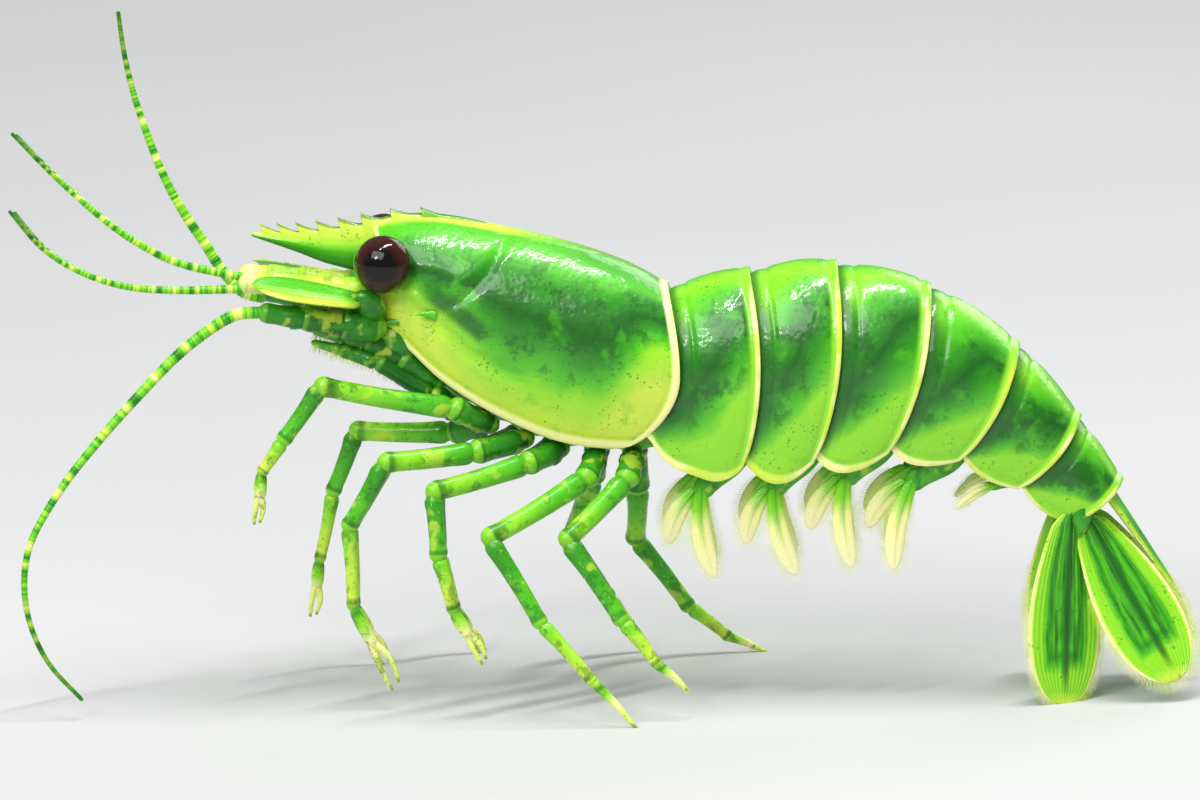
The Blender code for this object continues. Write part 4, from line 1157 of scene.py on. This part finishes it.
# Both ends of a segment, as places along it and radii, in shares of its radius there.
NECK = (
    (-0.62, 0.0), (-0.6, 0.30), (-0.35, 0.62), (0.0, 0.74), (0.35, 0.74), (0.62, 0.84), (0.85, 0.97),
    (1.2, 1.0),
)
KNOB = (
    (-1.35, 1.0), (-0.85, 1.05), (-0.45, 1.1), (-0.1, 1.08), (0.25, 0.94), (0.5, 0.72), (0.68, 0.42),
    (0.74, 0.0),
)


def segment_stations(length, start, end, pointed, knuckle):
    """Places and radii along one segment: a neck, a full body and a knobbed end that holds the next neck."""
    stations = [(a * start, (r if a < -0.1 else 1 + (r - 1) * knuckle) * start) for a, r in NECK]
    for share in (0.28, 0.42, 0.56, 0.70, 0.82):
        radius = start + (end - start) * share
        stations.append((length * share, radius * (1 - 0.05 * math.sin(math.pi * share))))
    stations = [s for s in stations if s[0] < length - 1.5 * end]
    if pointed:
        for share in (0.88, 0.92, 0.95, 0.975, 0.99, 0.998):
            round_off = math.sqrt(1 - ((share - 0.84) / 0.16) ** 2)
            stations.append((length * share, (start + (end - start) * share) * round_off))
        return stations + [(length, 0.0)]
    return stations + [(length + a * end, (1 + (r - 1) * knuckle if r > 1 else r) * end) for a, r in KNOB]


def limb(name, joints, radii, sides=18, flatness=0.88, pointed=True, knuckle=1.0):
    """A jointed limb as a list of segments, each with a fifth of the map."""
    joints = vectors(joints)
    parts = []
    for i, (start, end) in enumerate(zip(joints, joints[1:])):
        last = pointed and i == len(joints) - 2
        length = (end - start).length
        ahead = (end - start) / length
        bow = ahead.cross(Y_AXIS - ahead * Y_AXIS.dot(ahead)).normalized() * (0.0 if last else 0.012) * length
        points, thick, marks = [], [], []
        for place, radius in segment_stations(length, *radii[i:i + 2], last, knuckle):
            share = min(1.0, max(0.0, place / length))
            points.append(start + ahead * place + bow * math.sin(math.pi * share))
            thick.append(radius)
            marks.append((i + share * 0.999) / 5)
        parts.append(tube(f"{name}_{i}", points, thick, sides, flatness, marks=marks))
    return parts


def pincer(name, ankle, tip):
    """The small hand at the end of a front leg: a palm, its fixed finger and the finger that opens."""
    ahead = tip - ankle
    outward = ahead.cross(Y_AXIS).normalized() * ahead.length * FINGER_OPENING
    palm_end = ankle.lerp(tip, FINGER_START)
    places = (-0.08, -0.06, 0.0, 0.03, 0.10, 0.22, 0.34, 0.42, 0.47, 0.50, 0.51)
    radii = (0.0, 0.4, 0.62, 0.66, 0.86, 0.98, 0.98, 0.90, 0.72, 0.42, 0.0)
    shift = [outward * 0.18 * ease(0.1, 0.45, p) for p in places]
    palm_points = [ankle.lerp(tip, p) + s for p, s in zip(places, shift)]
    marks = [0.8 + 0.19 * max(0.0, p) for p in places]
    palm = tube(f"{name}_palm", palm_points, radii, 18, 0.85, marks=marks)
    fixed = through((palm_end, ankle.lerp(tip, 0.72) - outward * 0.12, tip), 14)
    middle, end = ankle.lerp(tip, 0.68) + outward * 0.95, ankle.lerp(tip, 0.95) + outward * 0.75
    moving = through((palm_end + outward * 0.3, middle, end), 14)
    parts = [palm]
    steps = [i / 13 for i in range(14)]
    thick = [0.0, *(0.56 * (1 - 0.62 * t**1.4) for t in steps), 0.0]
    marks = [0.89, *(0.89 + 0.1 * t for t in steps), 0.99]
    for label, line in (("fixed", fixed), ("moving", moving)):
        root, end = heading(line[:2], 0), heading(line[-2:], 1)
        points = [line[0] - root * 0.01, *line, line[-1] + end * 0.08]
        parts.append(tube(f"{name}_{label}", points, thick, 14, 0.9, marks=marks))
    return parts


def claw(name, ankle, tip):
    """The last segment of a walking leg: a slim curved claw."""
    ahead = (tip - ankle).normalized()
    bend = ahead.cross(Y_AXIS).normalized() * 0.22
    steps = [i / 18 for i in range(19)]
    line = [ankle.lerp(tip, t) + bend * math.sin(math.pi * t) for t in steps]
    points = [ankle - ahead * 0.5, *line, tip + ahead * 0.05]
    radii = [0.0, *(0.85 * (0.92 if t else 0.80) * (1 - 0.68 * t**1.2) for t in steps), 0.0]
    marks = [0.8, *(0.8 + 0.199 * t for t in steps), 0.999]
    return [tube(f"{name}_claw", points, radii, 16, 0.88, marks=marks)]


def leg_hairs(joints, draw):
    """Short bristles all round the outer segments."""
    hairs = []
    ends = ((2, 3, 1.2, 26, 1.25), (3, 4, 0.95, 34, 1.0), (4, 5, 0.55, 30, 0.8))
    for row, (a, b, radius, count, reach) in enumerate(ends):
        start, end = Vector(joints[a]), Vector(joints[b])
        ahead = (end - start).normalized()
        side = (Y_AXIS - ahead * ahead.y).normalized()
        up = ahead.cross(side)
        for i in range(count):
            t = 0.1 + 0.85 * (i + draw.random()) / count
            turn = draw.uniform(0, 2 * math.pi)
            out = side * math.cos(turn) + up * math.sin(turn)
            root = start.lerp(end, t) + out * radius * (0.78 - 0.3 * t)
            tip = root + (out * 0.55 + ahead * 0.85).normalized() * reach * draw.uniform(0.6, 1.1)
            place = (0.05 + 0.9 * turn / (2 * math.pi), 0.03 + (row + t) / 3 * 0.94)
            hairs.append((root, tip, out * 0.05, place))
    return hairs


def make_legs(sizes, colours):
    stops = (
        (0.0, "deep"), (0.12, "leaf"), (0.26, "bright"), (0.36, "lime"), (0.43, "leaf"), (0.58, "bright"),
        (0.66, "lime"), (0.78, "yellow"), (0.815, "leaf"), (0.84, "lime"), (0.89, "pale"), (0.99, "yellow"),
    )
    finish, hair = limb_finish("walking_leg", colours, stops), hair_finish(colours)
    for order, (name, (kind, joints)) in enumerate(LEGS.items()):
        ankle, tip = Vector(joints[4]), Vector(joints[5])
        parts = limb(name, joints[:5], LEG_RADII[:5], pointed=False)
        parts += pincer(name, ankle, tip) if kind == "pincer" else claw(name, ankle, tip)
        number, side = name.split("_")[1:]
        finished(joined(f"walking_{name}", parts), finish, "leg", name)
        hairs = leg_hairs(joints, random.Random(40 + order))
        bristles(f"leg_bristles_{number}_{side}", hairs, STIFF_HAIR, hair, "leg")


def make_head_limbs(sizes, colours):
    """Stems of both pairs of feelers, the broad scales and the third maxillipeds."""
    bright = ((0.0, "leaf"), (0.12, "lime"), (0.3, "yellow"), (0.5, "lime"), (0.66, "yellow"), (0.8, "pale"))
    dark = ((0.0, "leaf"), (0.3, "deep"), (0.6, "leaf"), (0.85, "bright"), (1.0, "lime"))
    stem = limb_finish("antennule_stem", colours, bright, 0.3)
    base = limb_finish("antenna_stem", colours, dark, 0.3)
    hair = hair_finish(colours)

    parts = limb("antennule", ANTENNULE, ANTENNULE_RADII, 24, 1.08, pointed=False, knuckle=0.45)
    parts.append(spine("stylocerite", (-37.0, -4.1, 61.9), (-43.2, -4.9, 63.0), 0.9, bend=0.05))
    pair("antennule_stem", parts, stem, "flesh", "antennule")

    parts = limb("antenna_base", ANTENNA_BASE, ANTENNA_BASE_RADII, 24, 1.0, pointed=False, knuckle=0.45)
    parts.append(spine("basal_spine", (-37.2, -7.9, 57.6), (-41.4, -9.9, 57.3), 1.0, bend=0.0))
    ahead = (SCALE_TIP - SCALE_ROOT).normalized()
    seat = (Vector(ANTENNA_BASE[0]) + Z_AXIS * 0.8, SCALE_ROOT - ahead * 0.6, SCALE_ROOT + ahead * 2.6)
    seat = tube("scale_seat", through(seat, 8), (0.0, 1.9, 2.1, 2.1, 1.9, 1.5, 0.9, 0.0), 24, 0.75)
    parts.append(stained(seat, (0.5, 0.5)))
    pair("antenna_stem", parts, base, "flesh", "antenna_base")

    parts = limb("maxilliped", MAXILLIPED, MAXILLIPED_RADII, 18, 0.9)
    parts += limb("inner_maxilliped", INNER_MAXILLIPED, INNER_MAXILLIPED_RADII, 18, 0.9)
    jaw = tube("jaw", through(JAW, 8), (0.0, 1.9, 2.5, 2.8, 2.8, 2.4, 1.6, 0.0), 24, 0.75)
    parts.append(stained(jaw, (0.5, 0.1)))
    pair("mouth_limb", parts, base, "flesh", "maxilliped")

    roll = math.radians(SCALE_ROLL)
    across = Vector((0, -math.cos(roll), -math.sin(roll)))
    scale = Blade(SCALE_ROOT, SCALE_TIP, across, SCALE_WIDTH, 1.0, 0.6, outer_rib=True)
    parts = [scale.shape("scale_blade", 56, 60)]
    parts.append(spine("scale_spine", scale.at(0.80, 0.93), scale.at(1.0, 1.04), 0.4))
    pair("scale_blade", parts, scale_finish(colours), "scale", "antennal_scale")
    hairs = scale.fringe(scale.margin(-1.0, 0.25, 0.97), 0.5, 1.5, 7, 0.2, 0.35)
    hair_pair("scale_fringe", hairs, STIFF_HAIR, hair, "scale")

    draw = random.Random(11)
    hairs = []
    line = through(MAXILLIPED[1:], 40)
    for i in range(MOUTH_HAIRS):
        t = i / MOUTH_HAIRS
        a = line[int(t * 39)]
        out = Vector((draw.uniform(-0.5, 0.1), draw.uniform(-0.5, 0.5), -1)).normalized()
        root = a + out * (1.25 - 0.7 * t)
        tip = root + out * draw.uniform(0.9, 1.7)
        hairs.append((root, tip, Vector(), (0.1 + 0.8 * draw.random(), 0.02 + 0.96 * t)))
    hair_pair("mouth_bristles", hairs, STIFF_HAIR, hair, "flesh")


def pair(name, parts, material, slot, node):
    """Finishes a left piece and its mirrored twin, for the solids of the same kind."""
    left = joined(f"{name}_left", parts)
    right = mirrored(left, f"{name}_right")
    finished(left, material, slot, f"{node}_left")
    finished(right, material, slot, f"{node}_right")


def make_feelers(sizes, colours):
    finish = feeler_finish(colours)
    step = sizes.ring_length / MM / 3
    for name, ((root, tip), route) in FEELERS.items():
        feeler(name, root, tip, route, step, finish)
        if name.startswith("antennule"):
            other = [(x, -y, z + y * RIGHT_FEELER_DROOP) for x, y, z in route]
            feeler(name.replace("left", "right"), root, tip, other, step, finish)


def feeler(node, root, tip, route, step, finish):
    """A whip of short rings, each a little narrower at its near end."""
    points = evenly(through(vectors(route), 160), step)
    points[0] = points[0] - (points[1] - points[0]).normalized() * 1.2
    last = len(points) - 1
    radii = [(root + (tip - root) * i / last) * (0.91 if i % 3 == 0 else 1.03) for i in range(last + 1)]
    radii[0] = radii[-1] = 0.0
    whip = tube(node.replace("antenn", "whip_antenn"), points, radii, 12)
    finished(whip, finish, "feeler", node)


# Blades --------------------


class Blade:
    """A flat rounded blade from root to tip, widest past its middle."""

    def __init__(
        self, root, tip, across, width, thickness, root_share,
        hollow=0.0, outer_rib=False, rib=0.22, sweep=0.0,
    ):
        self.root, self.tip = root, tip
        self.ahead = (tip - root).normalized()
        self.across = (across - self.ahead * across.dot(self.ahead)).normalized()
        self.normal = self.ahead.cross(self.across)
        self.width, self.thickness, self.root_share, self.hollow = width, thickness, root_share, hollow
        self.outer_rib, self.rib, self.sweep = outer_rib, rib, sweep

    def close(self, t):
        return math.sqrt(max(0.0, 1 - (max(0.0, t - BLADE_WIDEST) / (1.0001 - BLADE_WIDEST)) ** 2.2))

    def half(self, t):
        widen = self.root_share + (1 - self.root_share) * math.sin(min(1.0, t / BLADE_WIDEST) * math.pi / 2)
        round_off = 1 - 0.8 * (1 - min(1.0, t / 0.09)) ** 2
        return self.width / 2 * widen * self.close(t) * round_off

    def at(self, side, t=0.5):
        """The place at a share of the half width, and a share t of the way to the tip."""
        bend = self.normal * self.hollow + self.across * self.sweep
        middle = self.root + (self.tip - self.root) * t + bend * math.sin(math.pi * t)
        return middle + self.across * side * self.half(t)

    def thick(self, side, t):
        body = self.thickness * (1 - 0.4 * t) * 0.5 * math.sqrt(max(0.0, 1 - side**2)) * self.close(t) ** 0.5
        fade = ease(1.0, 0.85, t) * self.close(t)
        ribs = self.rib * bump_at(side, 0.0, 0.10) * fade
        if self.outer_rib:
            outer = self.rib * 1.4 * bump_at(side, 0.82, 0.12) * fade
            ribs = outer + 0.5 * self.rib * bump_at(side, 0.1, 0.1) * fade
        rays = 0.03 * math.sin(side * 34.0) * fade * ease(1.0, 0.8, abs(side))
        return body * 0.85 + ribs + rays

    def shape(self, name, around, along):
        rows = []
        for j in range(along + 1):
            t = (j / along) ** 0.92 if j < along else 1.0
            row = []
            for side, s in turns(around):
                lift = math.copysign(self.thick(side, t), s) if abs(s) > 1e-6 else 0.0
                row.append(self.at(side, t) + self.normal * lift)
            rows.append(row)
        start = self.at(0.0, 0.0)
        return grown(name, [[start - self.ahead * 0.1] * around, *rows])

    def fringe(self, line, middle, *looks):
        return fringe(line, self.at(middle), self.normal, *looks, self.ahead)

    def margin(self, side, start, end=1.0):
        """Points along one margin, from the root to the tip."""
        steps = [i / MARGIN_STEPS for i in range(MARGIN_STEPS + 1)]
        return [self.at(side, start + (end - start) * (1 - (1 - step) ** 2)) for step in steps]

    def rim(self, start):
        """Points round the whole margin, from the root over the tip and back."""
        return self.margin(1.0, start) + list(reversed(self.margin(-1.0, start)))[1:]


def make_swimmerets(sizes, colours):
    stem_stops = ((0.0, "deep"), (0.3, "leaf"), (0.7, "bright"), (1.0, "lime"))
    stem_skin, paddle_skin = limb_finish("swimmeret_stem", colours, stem_stops, 0.4), paddle_finish(colours)
    hair = hair_finish(colours)
    for number, (size, lean, sweep) in enumerate(SWIMMERETS):
        middle, half_height, _, back, up_axis = plate_frame(number, 0.9)
        lower = PLATE_HOLLOW - 1
        curve = lower**2 * REAR_CURVE * half_height / PLATE_EDGES[0][2]
        roof = middle + up_axis * lower * half_height - back * curve
        root = roof + Vector((0, -PLATE_EDGES[number][3] * 0.5, 1.0))
        knee = root + Vector((-lean, -0.06, -1)).normalized() * SWIMMERET_STEM * size
        line = through((root + Z_AXIS * 0.6, root.lerp(knee, 0.5), knee), len(STEM_PROFILE) - 2)
        line = [line[0] + Z_AXIS * 0.05, *line, line[-1] + (line[-1] - line[-2]) * 0.02]
        marks = [0.42 + 0.16 * i / len(line) for i in range(len(line))]
        stem = tube("stem", line, [share * size for share in STEM_PROFILE], 32, STEM_FLATNESS, marks=marks)
        label = f"swimmeret_stem_{number + 1}"
        pair(label, [stem], stem_skin, "swimmeret", f"swimmeret_{number + 1}")

        outer = knee + Vector((-sweep, -0.10, -1)).normalized() * SWIMMERET_OUTER * size
        inner = knee + Vector((-0.8 - sweep, 0.05, -1)).normalized() * SWIMMERET_INNER * size
        blades, hairs = [], []
        for i, (tip, offset) in enumerate(((outer, Vector((0.5, -0.5, 0))), (inner, Vector((-0.7, 0.6, 0))))):
            start = knee + offset * size - (tip - knee).normalized() * 1.2
            width, bend = SWIMMERET_WIDTH * size, -0.9 * size
            paddle = Blade(start, tip, X_AXIS, width, 1.1, 0.6, 0.35, rib=0.16, sweep=bend)
            blades.append(paddle.shape("paddle", 36, 44))
            found = paddle.fringe(paddle.rim(0.22), 0.0, 1.5 * size, 60 + number + i, 0.27, 0.5)
            hairs += [(a, b, c, (0.02 + 0.46 * p[0] + 0.5 * i, 0.02 + 0.96 * p[1])) for a, b, c, p in found]
        pair(f"swimmeret_paddles_{number + 1}", blades, paddle_skin, "swimmeret", f"swimmeret_{number + 1}")
        hair_pair(f"swimmeret_fringe_{number + 1}", hairs, FINE_HAIR, hair, "swimmeret")


def telson_half(t):
    """Half width of the telson at a share of its length."""
    return TELSON_WIDTH / 2 * (1 - 0.93 * t**1.35)


def telson_rows(root, back, up, length):
    rows, along, around = [], TELSON_RINGS, TELSON_SIDES
    for j in range(along + 1):
        t = j / along
        half = telson_half(t) * (0.9 + 0.1 * ease(0.0, 0.1, t))
        thick = 2.0 * (1 - 0.72 * t) * 0.6
        row = []
        for a, b in turns(around):
            tall = thick * math.copysign(abs(b) ** 0.75, b) * (1.0 if b > 0 else 0.5)
            if b > 0:
                tall -= 0.55 * thick * bump_at(a, 0.0, 0.22) * ease(0.05, 0.2, t) * ease(0.98, 0.8, t)
                tall += 0.12 * (bump_at(a, 0.42, 0.12) + bump_at(a, -0.42, 0.12)) * ease(1.0, 0.8, t)
            row.append(root + back * length * t + Y_AXIS * a * half + up * tall)
        rows.append(row)
    return [[centre(rows[0])] * around, *rows, [root + back * (length + 0.3)] * around]


def make_tail(sizes, colours):
    finish, hair = fan_finish(colours), hair_finish(colours)
    x, z, _, _, lean = PLATE_EDGES[-1]
    back, up = slanted(lean)
    root, length = Vector((x, 0, z)) + up * 2.2 - back * 1.6, TELSON_LENGTH + 0.6
    parts = [grown("telson_shell", telson_rows(root, back, up, length))]
    for i, t in enumerate((0.62, 0.74, 0.86)):
        for side in (-1, 1):
            base = root + back * length * t + Y_AXIS * side * telson_half(t) * 0.8
            tip = base + back * 1.7 + Y_AXIS * side * 0.75
            parts.append(spine(f"telson_spine_{i}_{side}", base, tip, 0.22, bend=0))
    finished(joined("telson_shell", parts), telson_finish(colours), "tail_fan", "telson")
    hairs = []
    for side in (-1, 1):
        shares = [0.35 + 0.55 * i / 50 for i in range(51)]
        line = [root + back * length * t + Y_AXIS * side * telson_half(t) * 0.93 for t in shares]
        middle = root + back * length * 0.5
        found = fringe(line, middle, up, 1.3, 90 + side, 0.24, 1.1, back)
        hairs += [(a, b, c, (0.25 + 0.25 * side + 0.25 + (p[0] - 0.5) * 0.4, p[1])) for a, b, c, p in found]
    bristles("telson_fringe", hairs, FINE_HAIR, hair, "tail_fan")

    stem_skin = limb_finish("fan_stem", colours, ((0.0, "deep"), (0.5, "leaf"), (1.0, "bright")), 0.0)
    points = through(FAN_STEM, len(FAN_STEM_PROFILE))
    pair("fan_root", [tube("fan_root", points, FAN_STEM_PROFILE, 26)], stem_skin, "tail_fan", "fan_stem")

    for name, (start, tip), flare, length in (
        ("inner", INNER_BLADE, 0.75, 1.9), ("outer", OUTER_BLADE, 1.0, 1.6)
    ):
        ahead = (tip - start).normalized()
        fore = Vector((ahead.z, 0, -ahead.x)).normalized()
        across = fore + Vector((0, -BLADE_FLARE * flare, 0))
        blade = Blade(start, tip, across, BLADE_WIDTH, BLADE_THICKNESS, 0.34, 0.5, rib=0.34)
        label = f"tail_blade_{name}"
        pair(label, [blade.shape(label, 84, 90)], finish, "tail_fan", f"fan_{name}")
        hairs = blade.fringe(blade.rim(0.4), 0.0, length, 120 + len(name), 0.2, 0.45)
        hair_pair(f"tail_fringe_{name}", hairs, STIFF_HAIR, hair, "tail_fan")


# Stage --------------------


def make_stage(sizes, colours):
    bpy.ops.object.select_all(action="DESELECT")
    bpy.ops.mesh.primitive_plane_add(size=FLOOR_SIZE)
    floor = bpy.context.active_object
    floor.name = "studio_floor"
    finish = Finish(colours, "studio_floor", 0.7)
    cloud = (finish.noise(3.0, 2.0), 0.3, 0.7)
    finish.colour = finish.mix(cloud, (0.52, 0.52, 0.52, 1), (0.55, 0.55, 0.545, 1))
    floor.data.materials.append(finish.done())

    world = bpy.data.worlds.new("studio")
    world.use_nodes = True
    sky = world.node_tree.nodes["Background"]
    sky.inputs["Color"].default_value = (0.93, 0.96, 1.0, 1.0)
    sky.inputs["Strength"].default_value = 0.27
    bpy.context.scene.world = world

    for name, (place, size, power) in LIGHTS.items():
        light_box(name, Vector(place), size, power)
    camera = bpy.data.cameras.new("camera")
    camera.lens = CAMERA_LENS
    camera.sensor_width = 36.0
    camera.clip_end = 20.0
    eye = bpy.data.objects.new("camera", camera)
    bpy.context.scene.collection.objects.link(eye)
    rise = math.radians(CAMERA_RISE)
    back = Vector((0, -math.cos(rise), math.sin(rise)))
    eye.location = CAMERA_AIM + back * CAMERA_DISTANCE
    eye.rotation_mode = "QUATERNION"
    eye.rotation_quaternion = (-back).to_track_quat("-Z", "Y")
    bpy.context.scene.camera = eye
    bpy.context.scene.view_settings.view_transform = "Standard"


def light_box(name, place, size, power):
    lamp = bpy.data.lights.new(name, "AREA")
    lamp.shape = "RECTANGLE"
    lamp.size, lamp.size_y = size
    lamp.energy = power
    made = bpy.data.objects.new(name, lamp)
    bpy.context.scene.collection.objects.link(made)
    made.location = place
    made.rotation_mode = "QUATERNION"
    made.rotation_quaternion = (CAMERA_AIM - place).to_track_quat("-Z", "Y")


# Add-on --------------------


def length_setting(name, description, default):
    return bpy.props.FloatProperty(
        name=name, description=description, default=default, unit="LENGTH", precision=5
    )


def colour_setting(name, description, default):
    return bpy.props.FloatVectorProperty(
        name=name, description=description, default=default, subtype="COLOR", size=3, min=0.0, max=1.0
    )


class ShrimpSizes(bpy.types.PropertyGroup):
    """Sizes that a user may change."""

    shell_thickness: length_setting("Shell thickness", "Thickness of the shell plates", 0.0005)
    eye_radius: length_setting("Eye radius", "Radius of each eye", 0.0043)
    ring_length: length_setting("Feeler ring", "Length of one ring of a feeler", 0.00055)


class ShrimpColours(bpy.types.PropertyGroup):
    """Colours that a user may change."""

    # Deep green is also the painted shade at the front of each abdomen plate and along the groove behind the
    # eye.
    deep: colour_setting("Deep green", "Blotches and ribs", (0.006, 0.11, 0.004))
    leaf: colour_setting("Leaf green", "Flanks", (0.025, 0.27, 0.006))
    bright: colour_setting("Bright green", "Back and lower flanks", (0.085, 0.50, 0.008))
    lime: colour_setting("Lime", "Lower edges", (0.26, 0.68, 0.015))
    yellow: colour_setting("Yellow green", "Towards the rims", (0.60, 0.78, 0.06))
    pale: colour_setting("Pale yellow", "Rims", (0.87, 0.87, 0.33))
    cream: colour_setting("Cream", "Paddles and bristles", (0.88, 0.86, 0.50))
    brown: colour_setting("Brown", "Rim of the eyes", (0.024, 0.0060, 0.0030))
    amber: colour_setting("Dark amber", "Ring in the eyes", (0.042, 0.0105, 0.0045))
    black: colour_setting("Black", "Middle of the eyes", (0.003, 0.002, 0.002))


class PieceMaker:
    """What every piece's operator shares."""

    bl_options = {"REGISTER", "UNDO"}
    make = None

    def execute(self, context):
        type(self).make(context.scene.shrimp_sizes, context.scene.shrimp_colours)
        return {"FINISHED"}


class SHRIMP_OT_stage(PieceMaker, bpy.types.Operator):
    """Floor, lights and camera"""

    bl_idname, bl_label, make = "shrimp.stage", "Stage", staticmethod(make_stage)


class SHRIMP_OT_carapace(PieceMaker, bpy.types.Operator):
    """Carapace with its grooves and spines, and the toothed rostrum"""

    bl_idname, bl_label, make = "shrimp.carapace", "Carapace", staticmethod(make_carapace)


class SHRIMP_OT_plates(PieceMaker, bpy.types.Operator):
    """The six overlapping plates of the abdomen"""

    bl_idname, bl_label, make = "shrimp.plates", "Abdomen plates", staticmethod(make_plates)


class SHRIMP_OT_flesh(PieceMaker, bpy.types.Operator):
    """One soft skin under all the shells"""

    bl_idname, bl_label, make = "shrimp.flesh", "Soft skin", staticmethod(make_flesh)


class SHRIMP_OT_eyes(PieceMaker, bpy.types.Operator):
    """Eyes and their stalks"""

    bl_idname, bl_label, make = "shrimp.eyes", "Eyes", staticmethod(make_eyes)


class SHRIMP_OT_head_limbs(PieceMaker, bpy.types.Operator):
    """Feeler stems, antennal scales and mouth limbs"""

    bl_idname, bl_label, make = "shrimp.head_limbs", "Head limbs", staticmethod(make_head_limbs)


class SHRIMP_OT_feelers(PieceMaker, bpy.types.Operator):
    """The two long and four short feelers"""

    bl_idname, bl_label, make = "shrimp.feelers", "Feelers", staticmethod(make_feelers)


class SHRIMP_OT_legs(PieceMaker, bpy.types.Operator):
    """Ten walking legs, the front six with pincers"""

    bl_idname, bl_label, make = "shrimp.legs", "Walking legs", staticmethod(make_legs)


class SHRIMP_OT_swimmerets(PieceMaker, bpy.types.Operator):
    """Five pairs of swimmerets with fringed paddles"""

    bl_idname, bl_label, make = "shrimp.swimmerets", "Swimmerets", staticmethod(make_swimmerets)


class SHRIMP_OT_tail(PieceMaker, bpy.types.Operator):
    """Telson and tail blades with their fringes"""

    bl_idname, bl_label, make = "shrimp.tail", "Tail fan", staticmethod(make_tail)


PIECES = (
    SHRIMP_OT_stage, SHRIMP_OT_flesh, SHRIMP_OT_carapace, SHRIMP_OT_plates, SHRIMP_OT_eyes,
    SHRIMP_OT_head_limbs, SHRIMP_OT_feelers, SHRIMP_OT_legs, SHRIMP_OT_swimmerets, SHRIMP_OT_tail,
)


class SHRIMP_PT_panel(bpy.types.Panel):
    """Lists the settings and the pieces"""

    bl_label = "Shrimp"
    bl_idname = "SHRIMP_PT_panel"
    bl_space_type = "VIEW_3D"
    bl_region_type = "UI"
    bl_category = "Shrimp"

    def draw(self, context):
        for settings in (context.scene.shrimp_sizes, context.scene.shrimp_colours):
            for name in settings.__annotations__:
                self.layout.prop(settings, name)
        for piece in PIECES:
            self.layout.operator(piece.bl_idname)


CLASSES = (ShrimpSizes, ShrimpColours, *PIECES, SHRIMP_PT_panel)


def register():
    for each in CLASSES:
        bpy.utils.register_class(each)
    bpy.types.Scene.shrimp_sizes = bpy.props.PointerProperty(type=ShrimpSizes)
    bpy.types.Scene.shrimp_colours = bpy.props.PointerProperty(type=ShrimpColours)


def unregister():
    del bpy.types.Scene.shrimp_sizes
    del bpy.types.Scene.shrimp_colours
    for each in reversed(CLASSES):
        bpy.utils.unregister_class(each)


def main():
    register()
    for piece in PIECES:
        getattr(bpy.ops.shrimp, piece.bl_idname.split(".")[1])()
    bpy.context.view_layer.update()


if __name__ == "__main__":
    main()
